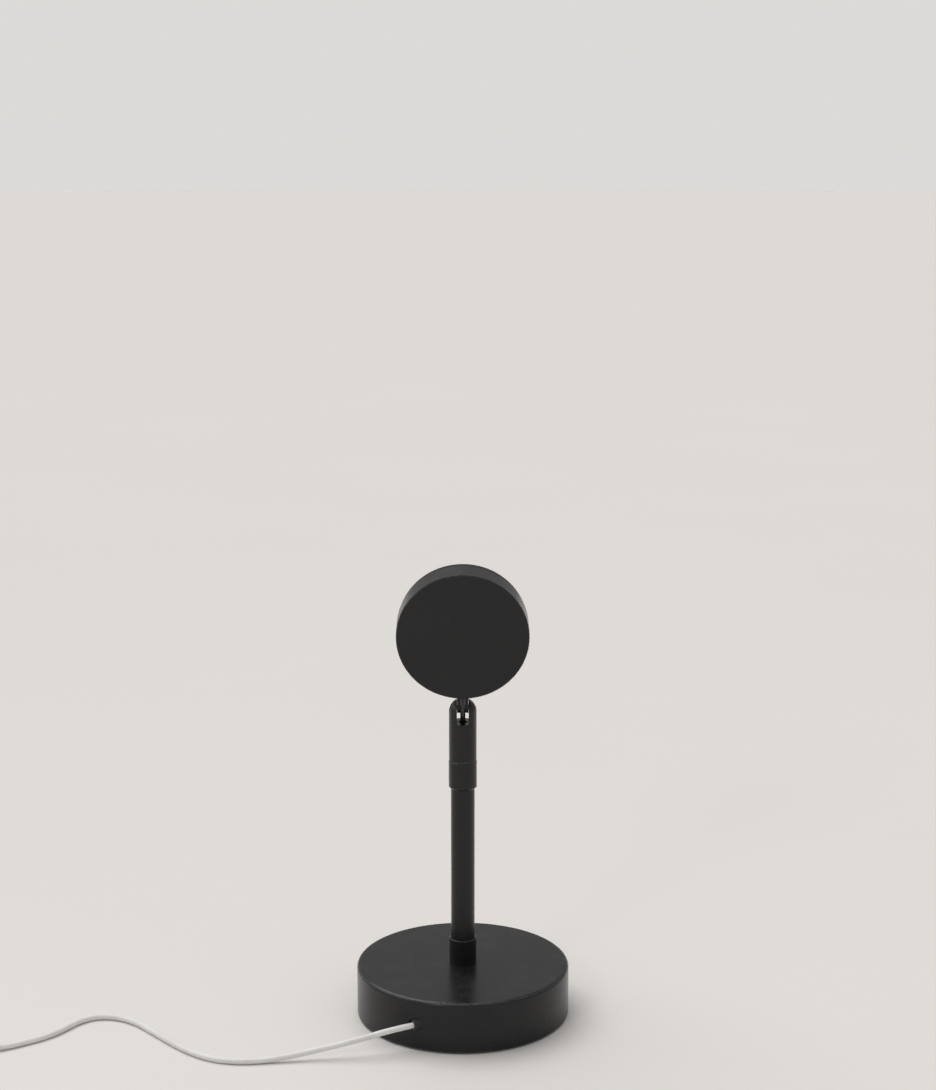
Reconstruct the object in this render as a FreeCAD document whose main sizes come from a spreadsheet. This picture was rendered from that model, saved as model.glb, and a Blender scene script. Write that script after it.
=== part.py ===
import FreeCAD, Part
import math
import os

import Sketcher
from FreeCAD import Placement, Rotation, Vector

# A small table lamp: a weighted round base, a straight pole, a swivelling fork and a flat round
# head that throws light through a lens. Millimetres. +Z is up, +Y is the way the beam goes, and
# the origin is the centre of the base's underside. The head stands at its rest tilt.

DIMENSIONS = [
    # base
    ("base_radius", 55.0),
    ("base_height", 26.6),
    ("base_edge", 1.9),
    ("cover_wall", 1.4),
    ("cover_roof", 2.0),
    ("pad_thick", 1.0),
    ("pad_radius", 51.0),
    ("plate_thick", 2.0),
    ("plate_gap", 0.4),
    ("boss_radius", 3.4),
    ("boss_circle", 47.6),
    ("weight_radius", 40.0),
    ("weight_thick", 14.0),
    ("recess_radius", 13.0),
    ("recess_depth", 8.0),
    ("notch_width", 15.0),
    ("notch_depth", 12.0),
    # threaded nipple that holds the pole down
    ("nipple_radius", 4.95),
    ("nipple_bore", 3.5),
    ("nipple_below", 13.1),
    ("nipple_above", 39.6),
    ("nut_flats", 14.0),
    ("nut_thick", 4.0),
    ("washer_radius", 9.0),
    ("washer_thick", 1.0),
    # pole and its collars
    ("pole_radius", 6.1),
    ("pole_bore", 5.0),
    ("pole_top", 132.3),
    ("collar_gap", 0.05),
    ("foot_radius", 7.0),
    ("foot_height", 13.5),
    ("foot_edge", 0.4),
    ("collar_radius", 7.2),
    ("collar_bottom", 121.0),
    ("collar_top", 135.3),
    ("collar_edge", 0.8),
    # swivel
    ("friction_thick", 0.3),
    ("bolt_thread", 4.0),
    ("bolt_shank", 4.2),
    ("bolt_head", 5.1),
    ("bolt_head_thick", 2.0),
    ("bolt_bore", 2.2),
    ("bolt_below", 6.0),
    ("bushing_thick", 4.7),
    ("spring_washer_thick", 0.8),
    ("running_gap", 0.05),
    # fork
    ("fork_radius", 7.05),
    ("fork_dome", 161.4),
    ("fork_bore", 5.6),
    ("fork_bore_top", 146.3),
    ("fork_lead_hole", 2.4),
    ("slot_width", 6.0),
    ("slot_floor", 155.8),
    ("pivot_height", 163.5),
    ("pivot_radius", 1.25),
    ("pivot_head", 1.7),
    ("pivot_head_thick", 1.2),
    ("pivot_seat", 4.6),
    # head stem
    ("tongue_width", 5.8),
    ("stem_radius", 3.2),
    ("stem_start", 6.9),
    ("stub_radius", 1.95),
    ("stub_length", 15.0),
    ("stem_nut_flats", 7.0),
    ("stem_nut_thick", 2.4),
    # head
    ("head_tilt", 9.5),
    ("head_reach", 41.9),
    ("head_radius", 33.3),
    ("head_back", 8.9),
    ("head_seam", 4.4),
    ("head_front", 8.9),
    ("front_radius", 32.8),
    ("shell_wall", 1.6),
    ("shell_back", 1.8),
    ("shell_edge", 0.4),
    ("stem_pad", 30.5),
    ("spigot_depth", 2.4),
    ("bezel_wall", 1.5),
    ("lens_radius", 25.9),
    ("lens_curve", 33.9),
    ("lens_peak", 15.4),
    ("lens_flat", 4.6),
    ("lens_flange", 2.0),
    ("lip_radius", 23.2),
    ("lip_thick", 1.5),
    ("gasket_radius", 23.3),
    ("retainer_radius", 22.5),
    ("retainer_thick", 1.4),
    ("spreader_radius", 21.0),
    ("spreader_thick", 2.0),
    ("board_radius", 19.5),
    ("board_thick", 1.6),
    ("chip_side", 9.0),
    ("chip_thick", 0.8),
    ("holder_radius", 15.0),
    ("holder_flange", 1.2),
    ("holder_wall", 10.4),
    ("holder_height", 4.2),
    ("holder_mouth", 6.6),
    ("filter_radius", 9.0),
    ("filter_thick", 1.1),
    ("led_screw_at", 12.7),
    ("led_screw_radius", 1.25),
    # leads
    ("cord_radius", 1.5),
    ("lead_radius", 1.3),
    ("lead_offset", 5.3),
    ("lead_join", 149.3),
    ("grommet_radius", 3.0),
    ("grommet_inside", 9.0),
    ("exit_heading", 200.0),
    ("exit_drop", 4.0),
    ("splice_radius", 2.1),
    # coil of lead put away
    ("coil_middle", 17.5),
    ("coil_turns", 9.25),
    ("coil_layers", 4.0),
    ("layer_turns", 2.25),
    ("coil_pitch", 3.45),
    ("tie_thick", 0.4),
    ("tie_width", 4.0),
    # in-line switch
    ("switch_length", 44.0),
    ("switch_width", 17.0),
    ("switch_height", 11.0),
    ("switch_split", 5.0),
    ("switch_wall", 1.4),
    ("switch_corner", 4.0),
    ("switch_round", 1.2),
    ("snout_radius", 2.9),
    ("snout_length", 4.0),
    ("button_length", 12.0),
    ("button_width", 7.4),
    ("button_proud", 2.2),
    ("button_gap", 0.3),
    ("switch_heading", 206.6),
    # plug
    ("grip_length", 22.0),
    ("grip_width", 15.6),
    ("grip_height", 8.0),
    ("relief_length", 9.0),
    ("relief_radius", 2.6),
    ("plug_shell_length", 18.7),
    ("plug_shell_width", 12.0),
    ("plug_shell_height", 4.5),
    ("plug_shell_wall", 0.3),
    ("plug_tongue_width", 11.1),
    ("plug_tongue_thick", 1.9),
]

BOSS_ANGLES = (90.0, 210.0, 330.0)
TENTH = 0.1

# The lead's route on the table, from the base's grommet to the switch. Only the first run's
# direction is worked out, from the grommet's own.
EXIT_POINT = Vector(-24.8, -50.1, 13.5)
EXIT_RUN = 13.0
RUN_ROUTE = [
    Vector(-47.8, -56.5, 9.9),
    Vector(-61.2, -58.8, 7.1),
    Vector(-75.6, -60.4, 4.3),
    Vector(-87.2, -62.6, 2.5),
    Vector(-98.3, -64.4, 1.5),
    Vector(-109.7, -65.7, 1.5),
    Vector(-122.3, -63.3, 1.5),
    Vector(-134.3, -55.9, 1.5),
    Vector(-147.3, -43.0, 1.5),
    Vector(-157.7, -30.7, 1.5),
    Vector(-169.7, -17.9, 1.5),
    Vector(-180.7, -12.7, 1.5),
    Vector(-189.6, -12.6, 1.5),
    Vector(-197.2, -17.7, 1.5),
    Vector(-203.3, -27.3, 1.5),
    Vector(-208.3, -34.5, 1.5),
    Vector(-218.0, -42.2, 1.5),
    Vector(-230.3, -49.7, 1.5),
]
SWITCH_LINE = 4.5
SWITCH_ENTRY = Vector(-250.6, -58.3, SWITCH_LINE)
SWITCH_RUN = 4.5
SWITCH_INSIDE = 6.5

# From the switch to the put-away coil, and from the coil to the plug.
LINK_ROUTE = [
    Vector(-317.6, -88.6, 1.9),
    Vector(-330.6, -85.6, 1.9),
    Vector(-340.6, -76.0, 1.9),
    Vector(-344.2, -62.5, 1.9),
]
COIL_CENTRE = Vector(-322.0, -45.0, 0.0)
COIL_LEAD_IN = 9.0
COIL_LEAD_OUT = 12.5
TAIL_ROUTE = [
    Vector(-298.6, -20.4, 9.6),
    Vector(-290.0, -10.6, 6.4),
    Vector(-287.0, 1.5, 4.0),
]
PLUG_ENTRY = Vector(-287.0, 12.5, 4.0)

doc = FreeCAD.newDocument("lamp")
sheet = doc.addObject("Spreadsheet::Sheet", "dims")
for row, (alias, size) in enumerate(DIMENSIONS, 1):
    sheet.set(f"A{row}", alias)
    sheet.set(f"B{row}", str(size))
    sheet.setAlias(f"B{row}", alias)
doc.recompute()

nodes = []


def cell(alias):
    """One driving dimension, read from the sheet."""
    return float(sheet.get(alias))


def keep(piece, name):
    """Make an object one of the lamp's own pieces, under its own name."""
    piece.Label = name
    nodes.append(piece)
    return piece


def bind(piece, sizes):
    """Bind an object's properties to expressions on the sheet."""
    for key, expression in sizes.items():
        piece.setExpression(key, expression)
    return piece


# Frames ---------------------------------------------------------------------------------------

TURN_TO_X = Rotation(Vector(0, 1, 0), 90)
TURN_TO_Y = Rotation(Vector(-1, 0, 0), 90)


def on_head(piece):
    """Stand a head piece, built along +Z from the drum's middle, on the beam's line."""
    piece.Placement = Placement(Vector(), Rotation(Vector(-1, 0, 0), 90))
    return bind(piece, {
        "Placement.Base.y": "-dims.head_reach * sin(dims.head_tilt)",
        "Placement.Base.z": "dims.pivot_height + dims.head_reach * cos(dims.head_tilt)",
        "Placement.Rotation.Angle": "90 - dims.head_tilt",
    })


def on_pivot(piece):
    """Stand a piece, built upright on the pivot, at the head's tilt."""
    piece.Placement = Placement(Vector(), Rotation(Vector(1, 0, 0), 8))
    return bind(piece, {
        "Placement.Base.z": "dims.pivot_height",
        "Placement.Rotation.Angle": "dims.head_tilt",
    })


# Builders -------------------------------------------------------------------------------------


def origin_plane(body, role):
    """One of a body's own origin planes."""
    return next(part for part in body.Origin.OriginFeatures if part.Role == role)


def sketch_on(body, name, role):
    """A new sketch on one of the body's origin planes."""
    sketch = body.newObject("Sketcher::SketchObject", name)
    sketch.AttachmentSupport = [(origin_plane(body, role), "")]
    sketch.MapMode = "FlatFace"
    return sketch


def polygon(sketch, corners):
    """A closed outline whose corners are bound to pairs of expressions."""
    count = len(corners)
    ring = [Vector(20 + 9 * math.cos(2 * math.pi * i / count), 9 * math.sin(2 * math.pi * i / count), 0)
            for i in range(count)]
    for i in range(count):
        sketch.addGeometry(Part.LineSegment(ring[i], ring[(i + 1) % count]), False)
    for i in range(count):
        sketch.addConstraint(Sketcher.Constraint("Coincident", i, 2, (i + 1) % count, 1))
    for i, corner in enumerate(corners):
        for kind, axis, expression in zip(("DistanceX", "DistanceY"), (-2, -1), corner):
            if expression == "0":
                sketch.addConstraint(Sketcher.Constraint("PointOnObject", i, 1, axis))
                continue
            index = sketch.addConstraint(Sketcher.Constraint(kind, -1, 1, i, 1, 1.0 + i))
            name = f"{kind[-1].lower()}{i}"
            sketch.renameConstraint(index, name)
            sketch.setExpression(f".Constraints.{name}", expression)


def turned(name, profile):
    """A body of revolution about its own Z, from (radius, height) expressions."""
    body = doc.addObject("PartDesign::Body", name)
    sketch = sketch_on(body, name + "_profile", "XZ_Plane")
    polygon(sketch, profile)
    turn = body.newObject("PartDesign::Revolution", name + "_turn")
    turn.Profile = sketch
    turn.ReferenceAxis = (sketch, ["V_Axis"])
    turn.Angle = 360
    return body


def ring(name, outer, inner, low, high):
    """A turned ring with a square section."""
    return turned(name, [(inner, low), (outer, low), (outer, high), (inner, high)])


def disc(name, radius, low, high):
    """A turned disc."""
    return turned(name, [("0", low), (radius, low), (radius, high), ("0", high)])


def slab(name, length, width, height, corner=None):
    """A padded block centred on its own Z, with upright edges rounded."""
    body = doc.addObject("PartDesign::Body", name)
    sketch = sketch_on(body, name + "_outline", "XY_Plane")
    half_x, half_y = f"({length}) / 2", f"({width}) / 2"
    polygon(sketch, [(f"-{half_x}", f"-{half_y}"), (half_x, f"-{half_y}"), (half_x, half_y),
                     (f"-{half_x}", half_y)])
    pad = body.newObject("PartDesign::Pad", name + "_pad")
    pad.Profile = sketch
    pad.setExpression("Length", height)
    if corner:
        doc.recompute()
        upright = edges_where(pad.Shape, lambda edge: abs(edge.tangentAt(edge.FirstParameter).z) > 0.9)
        round_edges(body, pad, upright, corner)
    return body


def edges_where(shape, test):
    """The names of a shape's edges that pass a test."""
    return [f"Edge{i}" for i, edge in enumerate(shape.Edges, 1) if test(edge)]


def round_edges(body, base, names, radius):
    """Round some edges of a body's last feature."""
    fillet = body.newObject("PartDesign::Fillet", base.Name + "_round")
    fillet.Base = (base, names)
    fillet.setExpression("Radius", radius)
    body.Tip = fillet
    return fillet


def cylinder(name, radius, height, base=("0", "0", "0"), turn=None):
    """A Part cylinder from expressions, along Z or turned."""
    piece = doc.addObject("Part::Cylinder", name)
    if turn:
        piece.Placement = Placement(Vector(), turn)
    bind(piece, {"Radius": radius, "Height": height})
    return place_at(piece, base)


def block(name, size, corner):
    """A Part box from expressions, by its lowest corner."""
    piece = doc.addObject("Part::Box", name)
    bind(piece, {"Length": size[0], "Width": size[1], "Height": size[2]})
    return place_at(piece, corner)


def place_at(piece, base):
    """Bind an object's place to three expressions."""
    for letter, expression in zip("xyz", base):
        if expression != "0":
            piece.setExpression(f"Placement.Base.{letter}", expression)
    return piece


def hexagon(name, flats, height, base=("0", "0", "0")):
    """A hexagonal prism by its width across flats."""
    piece = doc.addObject("Part::Prism", name)
    piece.Polygon = 6
    bind(piece, {"Circumradius": f"({flats}) / 2 / cos(30)", "Height": height})
    return place_at(piece, base)


def cut(name, base, *tools):
    """Cut one or more tools from a base."""
    for i, tool in enumerate(tools):
        step = doc.addObject("Part::Cut", name if i == len(tools) - 1 else f"{name}_cut{i}")
        step.Base = base
        step.Tool = tool
        base = step
    return base


def fuse(name, *parts):
    """Join parts into one solid."""
    whole = doc.addObject("Part::MultiFuse", name)
    whole.Shapes = list(parts)
    whole.Refine = True
    return whole


def together(name, *parts):
    """Separate solids in one node."""
    whole = doc.addObject("Part::Compound", name)
    whole.Links = list(parts)
    return whole


def shaped(name, shape):
    """An object whose shape is worked out here, because it follows a path."""
    piece = doc.addObject("Part::Feature", name)
    piece.Shape = shape
    return piece


# Cords ----------------------------------------------------------------------------------------


def heading(degrees, pitch=0.0):
    """A unit vector by compass angle from +X and a pitch above the table."""
    turn, rise = math.radians(degrees), math.radians(pitch)
    return Vector(math.cos(turn) * math.cos(rise), math.sin(turn) * math.cos(rise), math.sin(rise))


def arc_by_apex(start, apex, end):
    """The arc that is tangent to start-apex and apex-end, both of one length."""
    chord = end - start
    middle = (start + end) * 0.5
    rise = apex - middle
    if rise.Length < 1e-7:
        return Part.LineSegment(start, end).toShape(), math.inf
    half = chord.Length / 2
    sagitta = half * math.tan(math.atan2(rise.Length, half) / 2)
    top = middle + rise * (sagitta / rise.Length)
    return Part.Arc(start, top, end).toShape(), (half ** 2 + sagitta ** 2) / (2 * sagitta)


def runs_and_arcs(points):
    """Straight runs joined by tangent arcs, with the arcs' radii."""
    edges, radii = [], []
    here = points[0]
    for before, point, after in zip(points, points[1:], points[2:]):
        back, ahead = before - point, after - point
        reach = 0.45 * min(back.Length, ahead.Length)
        start = point + back.normalize() * reach
        end = point + ahead.normalize() * reach
        edges.append(Part.LineSegment(here, start).toShape())
        arc, radius = arc_by_apex(start, point, end)
        edges.append(arc)
        radii.append(radius)
        here = end
    edges.append(Part.LineSegment(here, points[-1]).toShape())
    return edges, radii


def tube_along(edges, radius):
    """A round tube swept along a chain of edges."""
    spine = Part.Wire(edges)
    first = edges[0]
    start = first.valueAt(first.FirstParameter)
    along = first.tangentAt(first.FirstParameter)
    section = Part.Wire([Part.makeCircle(radius, start, along)])
    tube = spine.makePipeShell([section], True, False)
    expected = math.pi * radius ** 2 * spine.Length
    return tube, spine.Length, tube.Volume / expected


def lay_tube(name, points, radius):
    """A tube along a hand-chosen route, with what it measures printed."""
    edges, radii = runs_and_arcs(points)
    tube, length, ratio = tube_along(edges, radius)
    print(name, "length", round(length, 1), "volume / section x length", round(ratio, 4))
    print("  radii", [round(value, 1) for value in radii])
    return shaped(name, tube)


def biarc(start, start_way, end, end_way):
    """Two arcs that join two points with their directions."""
    span = end - start
    ways = start_way + end_way
    bend = 2 * (1 - start_way.dot(end_way))
    if bend < 1e-9:
        reach = span.dot(span) / (2 * span.dot(ways))
    else:
        root = math.sqrt(span.dot(ways) ** 2 + bend * span.dot(span))
        reach = (root - span.dot(ways)) / bend
    first_apex = start + start_way * reach
    last_apex = end - end_way * reach
    middle = (first_apex + last_apex) * 0.5
    return [arc_by_apex(start, first_apex, middle)[0], arc_by_apex(middle, last_apex, end)[0]]


def wound_edges(line, quarter_turns):
    """A chain of biarcs, one to a quarter turn, along a line given as a function of turns."""
    step = 1e-4
    samples = []
    for quarter in range(quarter_turns + 1):
        turn = quarter / 4
        way = line(turn + step) - line(turn - step)
        samples.append((line(turn), way.normalize()))
    edges = []
    for (here, way), (there, next_way) in zip(samples, samples[1:]):
        edges += biarc(here, way, there, next_way)
    return edges


def least_gap(edges, radius, spacing=1.0):
    """The least gap of a wound tube to itself, measured on points along its line."""
    spine = Part.Wire(edges)
    count = int(spine.Length / spacing)
    points = []
    for edge in edges:
        pieces = max(2, round(edge.Length / spacing))
        for i in range(pieces):
            share = (edge.LastParameter - edge.FirstParameter) * i / pieces
            points.append(edge.valueAt(edge.FirstParameter + share))
    skip = round(8 * radius / spacing)
    least = min(points[i].distanceToPoint(points[j])
                for i in range(len(points)) for j in range(i + skip, len(points)))
    print("  points", count, "least gap", round(least - 2 * radius, 3))


# Base -----------------------------------------------------------------------------------------

COVER_ROOF = "dims.base_height - dims.cover_roof"
PLATE_TOP = "dims.pad_thick + dims.plate_thick"
WEIGHT_BOTTOM = f"({COVER_ROOF} - dims.weight_thick)"
RECESS_ROOF = f"({WEIGHT_BOTTOM} + dims.recess_depth)"
EXIT_WAY = heading(cell("exit_heading"), -cell("exit_drop"))


def along_exit(name, radius, inside, outside):
    """A cylinder on the grommet's line, from inside the wall to outside it."""
    start = EXIT_POINT - EXIT_WAY * inside
    piece = doc.addObject("Part::Cylinder", name)
    piece.setExpression("Radius", radius)
    piece.Height = inside + outside
    piece.Placement = Placement(start, Rotation(Vector(0, 0, 1), EXIT_WAY))
    return piece


def base_cover():
    """The drum: one thin wall and roof, with three screw bosses and the lead's hole."""
    inner = "dims.base_radius - dims.cover_wall"
    hole = "dims.nipple_radius + dims.collar_gap"
    shell = turned("cover_shell", [
        (hole, COVER_ROOF), (inner, COVER_ROOF), (inner, "dims.pad_thick"),
        ("dims.base_radius", "dims.pad_thick"), ("dims.base_radius", "dims.base_height"),
        (hole, "dims.base_height")])
    doc.recompute()
    wide = cell("base_radius") - 0.01
    rim = edges_where(shell.Shape, lambda edge: edge.BoundBox.ZMin > cell("base_height") - 0.01
                      and edge.BoundBox.XMax > wide)
    round_edges(shell, shell.Tip, rim, "dims.base_edge")
    bosses = []
    holes = []
    for i, angle in enumerate(BOSS_ANGLES):
        spot = (f"dims.boss_circle * cos({angle})", f"dims.boss_circle * sin({angle})")
        bosses.append(cylinder(f"boss{i}", "dims.boss_radius", f"{COVER_ROOF} - ({PLATE_TOP}) + 0.5",
                               spot + (PLATE_TOP,)))
        holes.append(cylinder(f"boss_hole{i}", "1.3", "12", spot + (PLATE_TOP,)))
    body = fuse("cover_body", shell, *bosses)
    cable = along_exit("cover_cable_hole", "dims.grommet_radius", cell("grommet_inside"), 25)
    keep(cut("base_cover_solid", body, cable, *holes), "base_cover")


def base_weight():
    """The iron disc under the roof, recessed for the nut and notched for the lead."""
    bore = "dims.nipple_radius + 0.25"
    disk = turned("weight_disc", [
        (bore, COVER_ROOF), ("dims.weight_radius", COVER_ROOF), ("dims.weight_radius", WEIGHT_BOTTOM),
        ("dims.recess_radius", WEIGHT_BOTTOM), ("dims.recess_radius", RECESS_ROOF),
        (bore, RECESS_ROOF)])
    notch = block("weight_notch", ("dims.notch_width", "dims.notch_depth", "dims.weight_thick + 2"),
                  ("-dims.notch_width + 4", "-dims.weight_radius - 1", f"{WEIGHT_BOTTOM} - 1"))
    keep(cut("weight_solid", disk, notch), "base_weight")


def base_plate():
    """The steel floor, countersunk for three screws."""
    plate = disc("plate_disc", "dims.base_radius - dims.cover_wall - dims.plate_gap",
                 "dims.pad_thick", PLATE_TOP)
    tools = []
    for i, angle in enumerate(BOSS_ANGLES):
        spot = (f"dims.boss_circle * cos({angle})", f"dims.boss_circle * sin({angle})")
        sink = doc.addObject("Part::Cone", f"plate_sink{i}")
        bind(sink, {"Radius1": "2.9", "Radius2": "1.6", "Height": "1.3"})
        place_at(sink, spot + ("dims.pad_thick",))
        tools += [sink, cylinder(f"plate_hole{i}", "1.6", "4", spot + ("dims.pad_thick - 1",))]
    keep(cut("plate_solid", plate, *tools), "base_plate")


def base_screws():
    """Three countersunk screws, up through the plate into the bosses."""
    screws = []
    for i, angle in enumerate(BOSS_ANGLES):
        head = doc.addObject("Part::Cone", f"screw_head{i}")
        bind(head, {"Radius1": "2.75", "Radius2": "1.45", "Height": "1.25"})
        shank = cylinder(f"screw_shank{i}", "1.3", "9")
        cross = block(f"screw_slot{i}", ("3.4", "0.6", "0.6"), ("-1.7", "-0.3", "-0.1"))
        other = block(f"screw_slot_b{i}", ("0.6", "3.4", "0.6"), ("-0.3", "-1.7", "-0.1"))
        screw = cut(f"screw{i}", fuse(f"screw_body{i}", head, shank), cross, other)
        place_at(screw, (f"dims.boss_circle * cos({angle})", f"dims.boss_circle * sin({angle})",
                         "dims.pad_thick"))
        screws.append(screw)
    keep(together("screw_group", *screws), "base_screws")


def foot_pad():
    """The soft pad the lamp stands on."""
    keep(disc("pad_disc", "dims.pad_radius", "0", "dims.pad_thick"), "foot_pad")


def pole_fixing():
    """The nipple, its nut and its washer."""
    keep(ring("nipple_ring", "dims.nipple_radius", "dims.nipple_bore", "dims.nipple_below",
              "dims.nipple_above"), "pole_nipple")
    keep(ring("washer_ring", "dims.washer_radius", "dims.nipple_radius + 0.25",
              f"{RECESS_ROOF} - dims.washer_thick", RECESS_ROOF), "pole_washer")
    low = f"{RECESS_ROOF} - dims.washer_thick - dims.nut_thick"
    nut = hexagon("nut_hexagon", "dims.nut_flats", "dims.nut_thick", ("0", "0", low))
    bore = cylinder("nut_bore", "dims.nipple_radius", "dims.nut_thick + 2", ("0", "0", f"{low} - 1"))
    keep(cut("nut_solid", nut, bore), "pole_nut")


# Pole and swivel ------------------------------------------------------------------------------

FORK_BOTTOM = "(dims.collar_top + dims.friction_thick)"
BUSHING_TOP = f"({FORK_BOTTOM} + dims.bushing_thick)"
BOLT_HEAD_BOTTOM = f"({BUSHING_TOP} + dims.spring_washer_thick)"


def pole():
    """The tube, with a trim collar at its foot."""
    keep(ring("pole_tube", "dims.pole_radius", "dims.pole_bore", "dims.base_height", "dims.pole_top"),
         "pole")
    top = "dims.base_height + dims.foot_height"
    bore = "dims.pole_radius + dims.collar_gap"
    keep(turned("foot_collar_turned", [
        (bore, "dims.base_height"), ("dims.foot_radius", "dims.base_height"),
        ("dims.foot_radius", f"{top} - dims.foot_edge"), ("dims.foot_radius - dims.foot_edge", top),
        (bore, top)]), "foot_collar")


def swivel_collar():
    """The sleeve on the pole's top, closed by a web that takes the hollow bolt."""
    bore = "dims.pole_radius + dims.collar_gap"
    edge = "dims.collar_edge"
    keep(turned("collar_turned", [
        (bore, "dims.collar_bottom"), (f"dims.collar_radius - {edge}", "dims.collar_bottom"),
        ("dims.collar_radius", f"dims.collar_bottom + {edge}"),
        ("dims.collar_radius", "dims.collar_top - 0.25"), ("dims.collar_radius - 0.25", "dims.collar_top"),
        ("dims.bolt_thread", "dims.collar_top"), ("dims.bolt_thread", "dims.pole_top"),
        (bore, "dims.pole_top")]), "swivel_collar")


def swivel_inside():
    """The friction washer, hollow bolt, bushing and spring washer that the fork turns on."""
    keep(ring("friction_ring", "dims.fork_radius - 0.25", "dims.bolt_shank + 0.2", "dims.collar_top",
              FORK_BOTTOM), "friction_washer")
    keep(turned("bolt_turned", [
        ("dims.bolt_bore", "dims.collar_top - dims.bolt_below"),
        ("dims.bolt_thread", "dims.collar_top - dims.bolt_below"),
        ("dims.bolt_thread", "dims.collar_top"), ("dims.bolt_shank", "dims.collar_top"),
        ("dims.bolt_shank", BOLT_HEAD_BOTTOM), ("dims.bolt_head", BOLT_HEAD_BOTTOM),
        ("dims.bolt_head", f"{BOLT_HEAD_BOTTOM} + dims.bolt_head_thick"),
        ("dims.bolt_bore", f"{BOLT_HEAD_BOTTOM} + dims.bolt_head_thick")]), "swivel_bolt")
    keep(ring("bushing_ring", "dims.fork_bore", "dims.bolt_shank + dims.running_gap", FORK_BOTTOM,
              BUSHING_TOP), "swivel_bushing")
    spring = ring("spring_ring", "dims.bolt_head", "dims.bolt_shank + 0.2", BUSHING_TOP,
                  BOLT_HEAD_BOTTOM)
    gap = block("spring_gap", ("3", "0.6", "2"), ("3.5", "-0.3", f"{BUSHING_TOP} - 0.5"))
    keep(cut("spring_washer_solid", spring, gap), "spring_washer")


def fork():
    """The domed barrel, slotted for the tongue and bored for the bushing and the lead."""
    height = f"dims.fork_dome - {FORK_BOTTOM}"
    barrel = cylinder("fork_barrel", "dims.fork_radius", height, ("0", "0", FORK_BOTTOM))
    dome = doc.addObject("Part::Sphere", "fork_dome_ball")
    bind(dome, {"Radius": "dims.fork_radius", "Placement.Base.z": "dims.fork_dome"})
    body = fuse("fork_body", barrel, dome)
    bore = cylinder("fork_bushing_bore", "dims.fork_bore", f"dims.fork_bore_top - {FORK_BOTTOM} + 1",
                    ("0", "0", f"{FORK_BOTTOM} - 1"))
    hole = cylinder("fork_lead_bore", "dims.fork_lead_hole", "20", ("0", "0", "dims.slot_floor - 15"))
    slot = block("fork_slot", ("dims.slot_width", "20", "20"),
                 ("-dims.slot_width / 2", "-10", "dims.slot_floor"))
    pin = cylinder("fork_pin_bore", "dims.pivot_radius", "16", ("-8", "0", "dims.pivot_height"), TURN_TO_X)
    seat = cylinder("fork_pin_seat", "dims.pivot_head + 0.2", "5",
                    ("-dims.pivot_seat - 5", "0", "dims.pivot_height"), TURN_TO_X)
    keep(cut("fork_solid", body, bore, hole, slot, pin, seat), "fork")


def pivot_screw():
    """The cross screw the head tilts on: its head sits in one ear, its end in the other."""
    shank = cylinder("pivot_shank", "dims.pivot_radius", "dims.pivot_seat + 6",
                     ("-dims.pivot_seat", "0", "0"), TURN_TO_X)
    head = cylinder("pivot_cap", "dims.pivot_head", "dims.pivot_head_thick",
                    ("-dims.pivot_seat - dims.pivot_head_thick", "0", "0"), TURN_TO_X)
    socket = hexagon("pivot_socket", "2", "1")
    socket.Placement = Placement(Vector(), TURN_TO_X)
    socket.setExpression("Placement.Base.x", "-dims.pivot_seat - dims.pivot_head_thick")
    screw = cut("pivot_screw_solid", fuse("pivot_screw_body", shank, head), socket)
    screw.setExpression("Placement.Base.z", "dims.pivot_height")
    keep(screw, "pivot_screw")


# Head -----------------------------------------------------------------------------------------

BACK_FACE = "-dims.head_back"
BACK_INSIDE = "(-dims.head_back + dims.shell_back)"
SPREADER_TOP = f"({BACK_INSIDE} + dims.spreader_thick)"
BOARD_TOP = f"({SPREADER_TOP} + dims.board_thick)"
HOLDER_TOP = f"({BOARD_TOP} + dims.holder_height)"
SHELL_INSIDE = "dims.head_radius - dims.shell_wall"
GROMMET_REACH = "dims.lead_radius + 0.45"


def head_stem():
    """The tongue in the fork's slot, its round neck and the threaded stub in the drum's wall."""
    half = "dims.tongue_width / 2"
    foot = cylinder("tongue_foot", half, "dims.tongue_width", (f"-{half}", "0", "0"), TURN_TO_X)
    blade = block("tongue_blade", ("dims.tongue_width", "dims.tongue_width", "dims.stem_start + 0.2"),
                  (f"-{half}", f"-{half}", "0"))
    neck = cylinder("tongue_neck", "dims.stem_radius", "4", ("0", "0", "dims.stem_start"))
    drum = cylinder("tongue_drum", "dims.head_radius", "40", ("0", "-20", "dims.head_reach"), TURN_TO_Y)
    pin = cylinder("tongue_pin_bore", "dims.pivot_radius + dims.running_gap", "10", ("-5", "0", "0"),
                   TURN_TO_X)
    saddle = cut("tongue_saddle", fuse("tongue_body", foot, blade, neck), drum, pin)
    stub = cylinder("tongue_stub", "dims.stub_radius", "dims.stub_length - dims.stem_start",
                    ("0", "0", "dims.stem_start"))
    keep(on_pivot(fuse("head_stem_solid", saddle, stub)), "head_stem")


def stem_nut():
    """The nut that clamps the stub inside the drum."""
    low = "dims.head_reach - dims.stem_pad"
    nut = hexagon("stem_nut_hexagon", "dims.stem_nut_flats", "dims.stem_nut_thick", ("0", "0", low))
    bore = cylinder("stem_nut_bore", "dims.stub_radius", "6", ("0", "0", f"{low} - 1"))
    keep(on_pivot(cut("stem_nut_solid", nut, bore)), "stem_nut")


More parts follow.
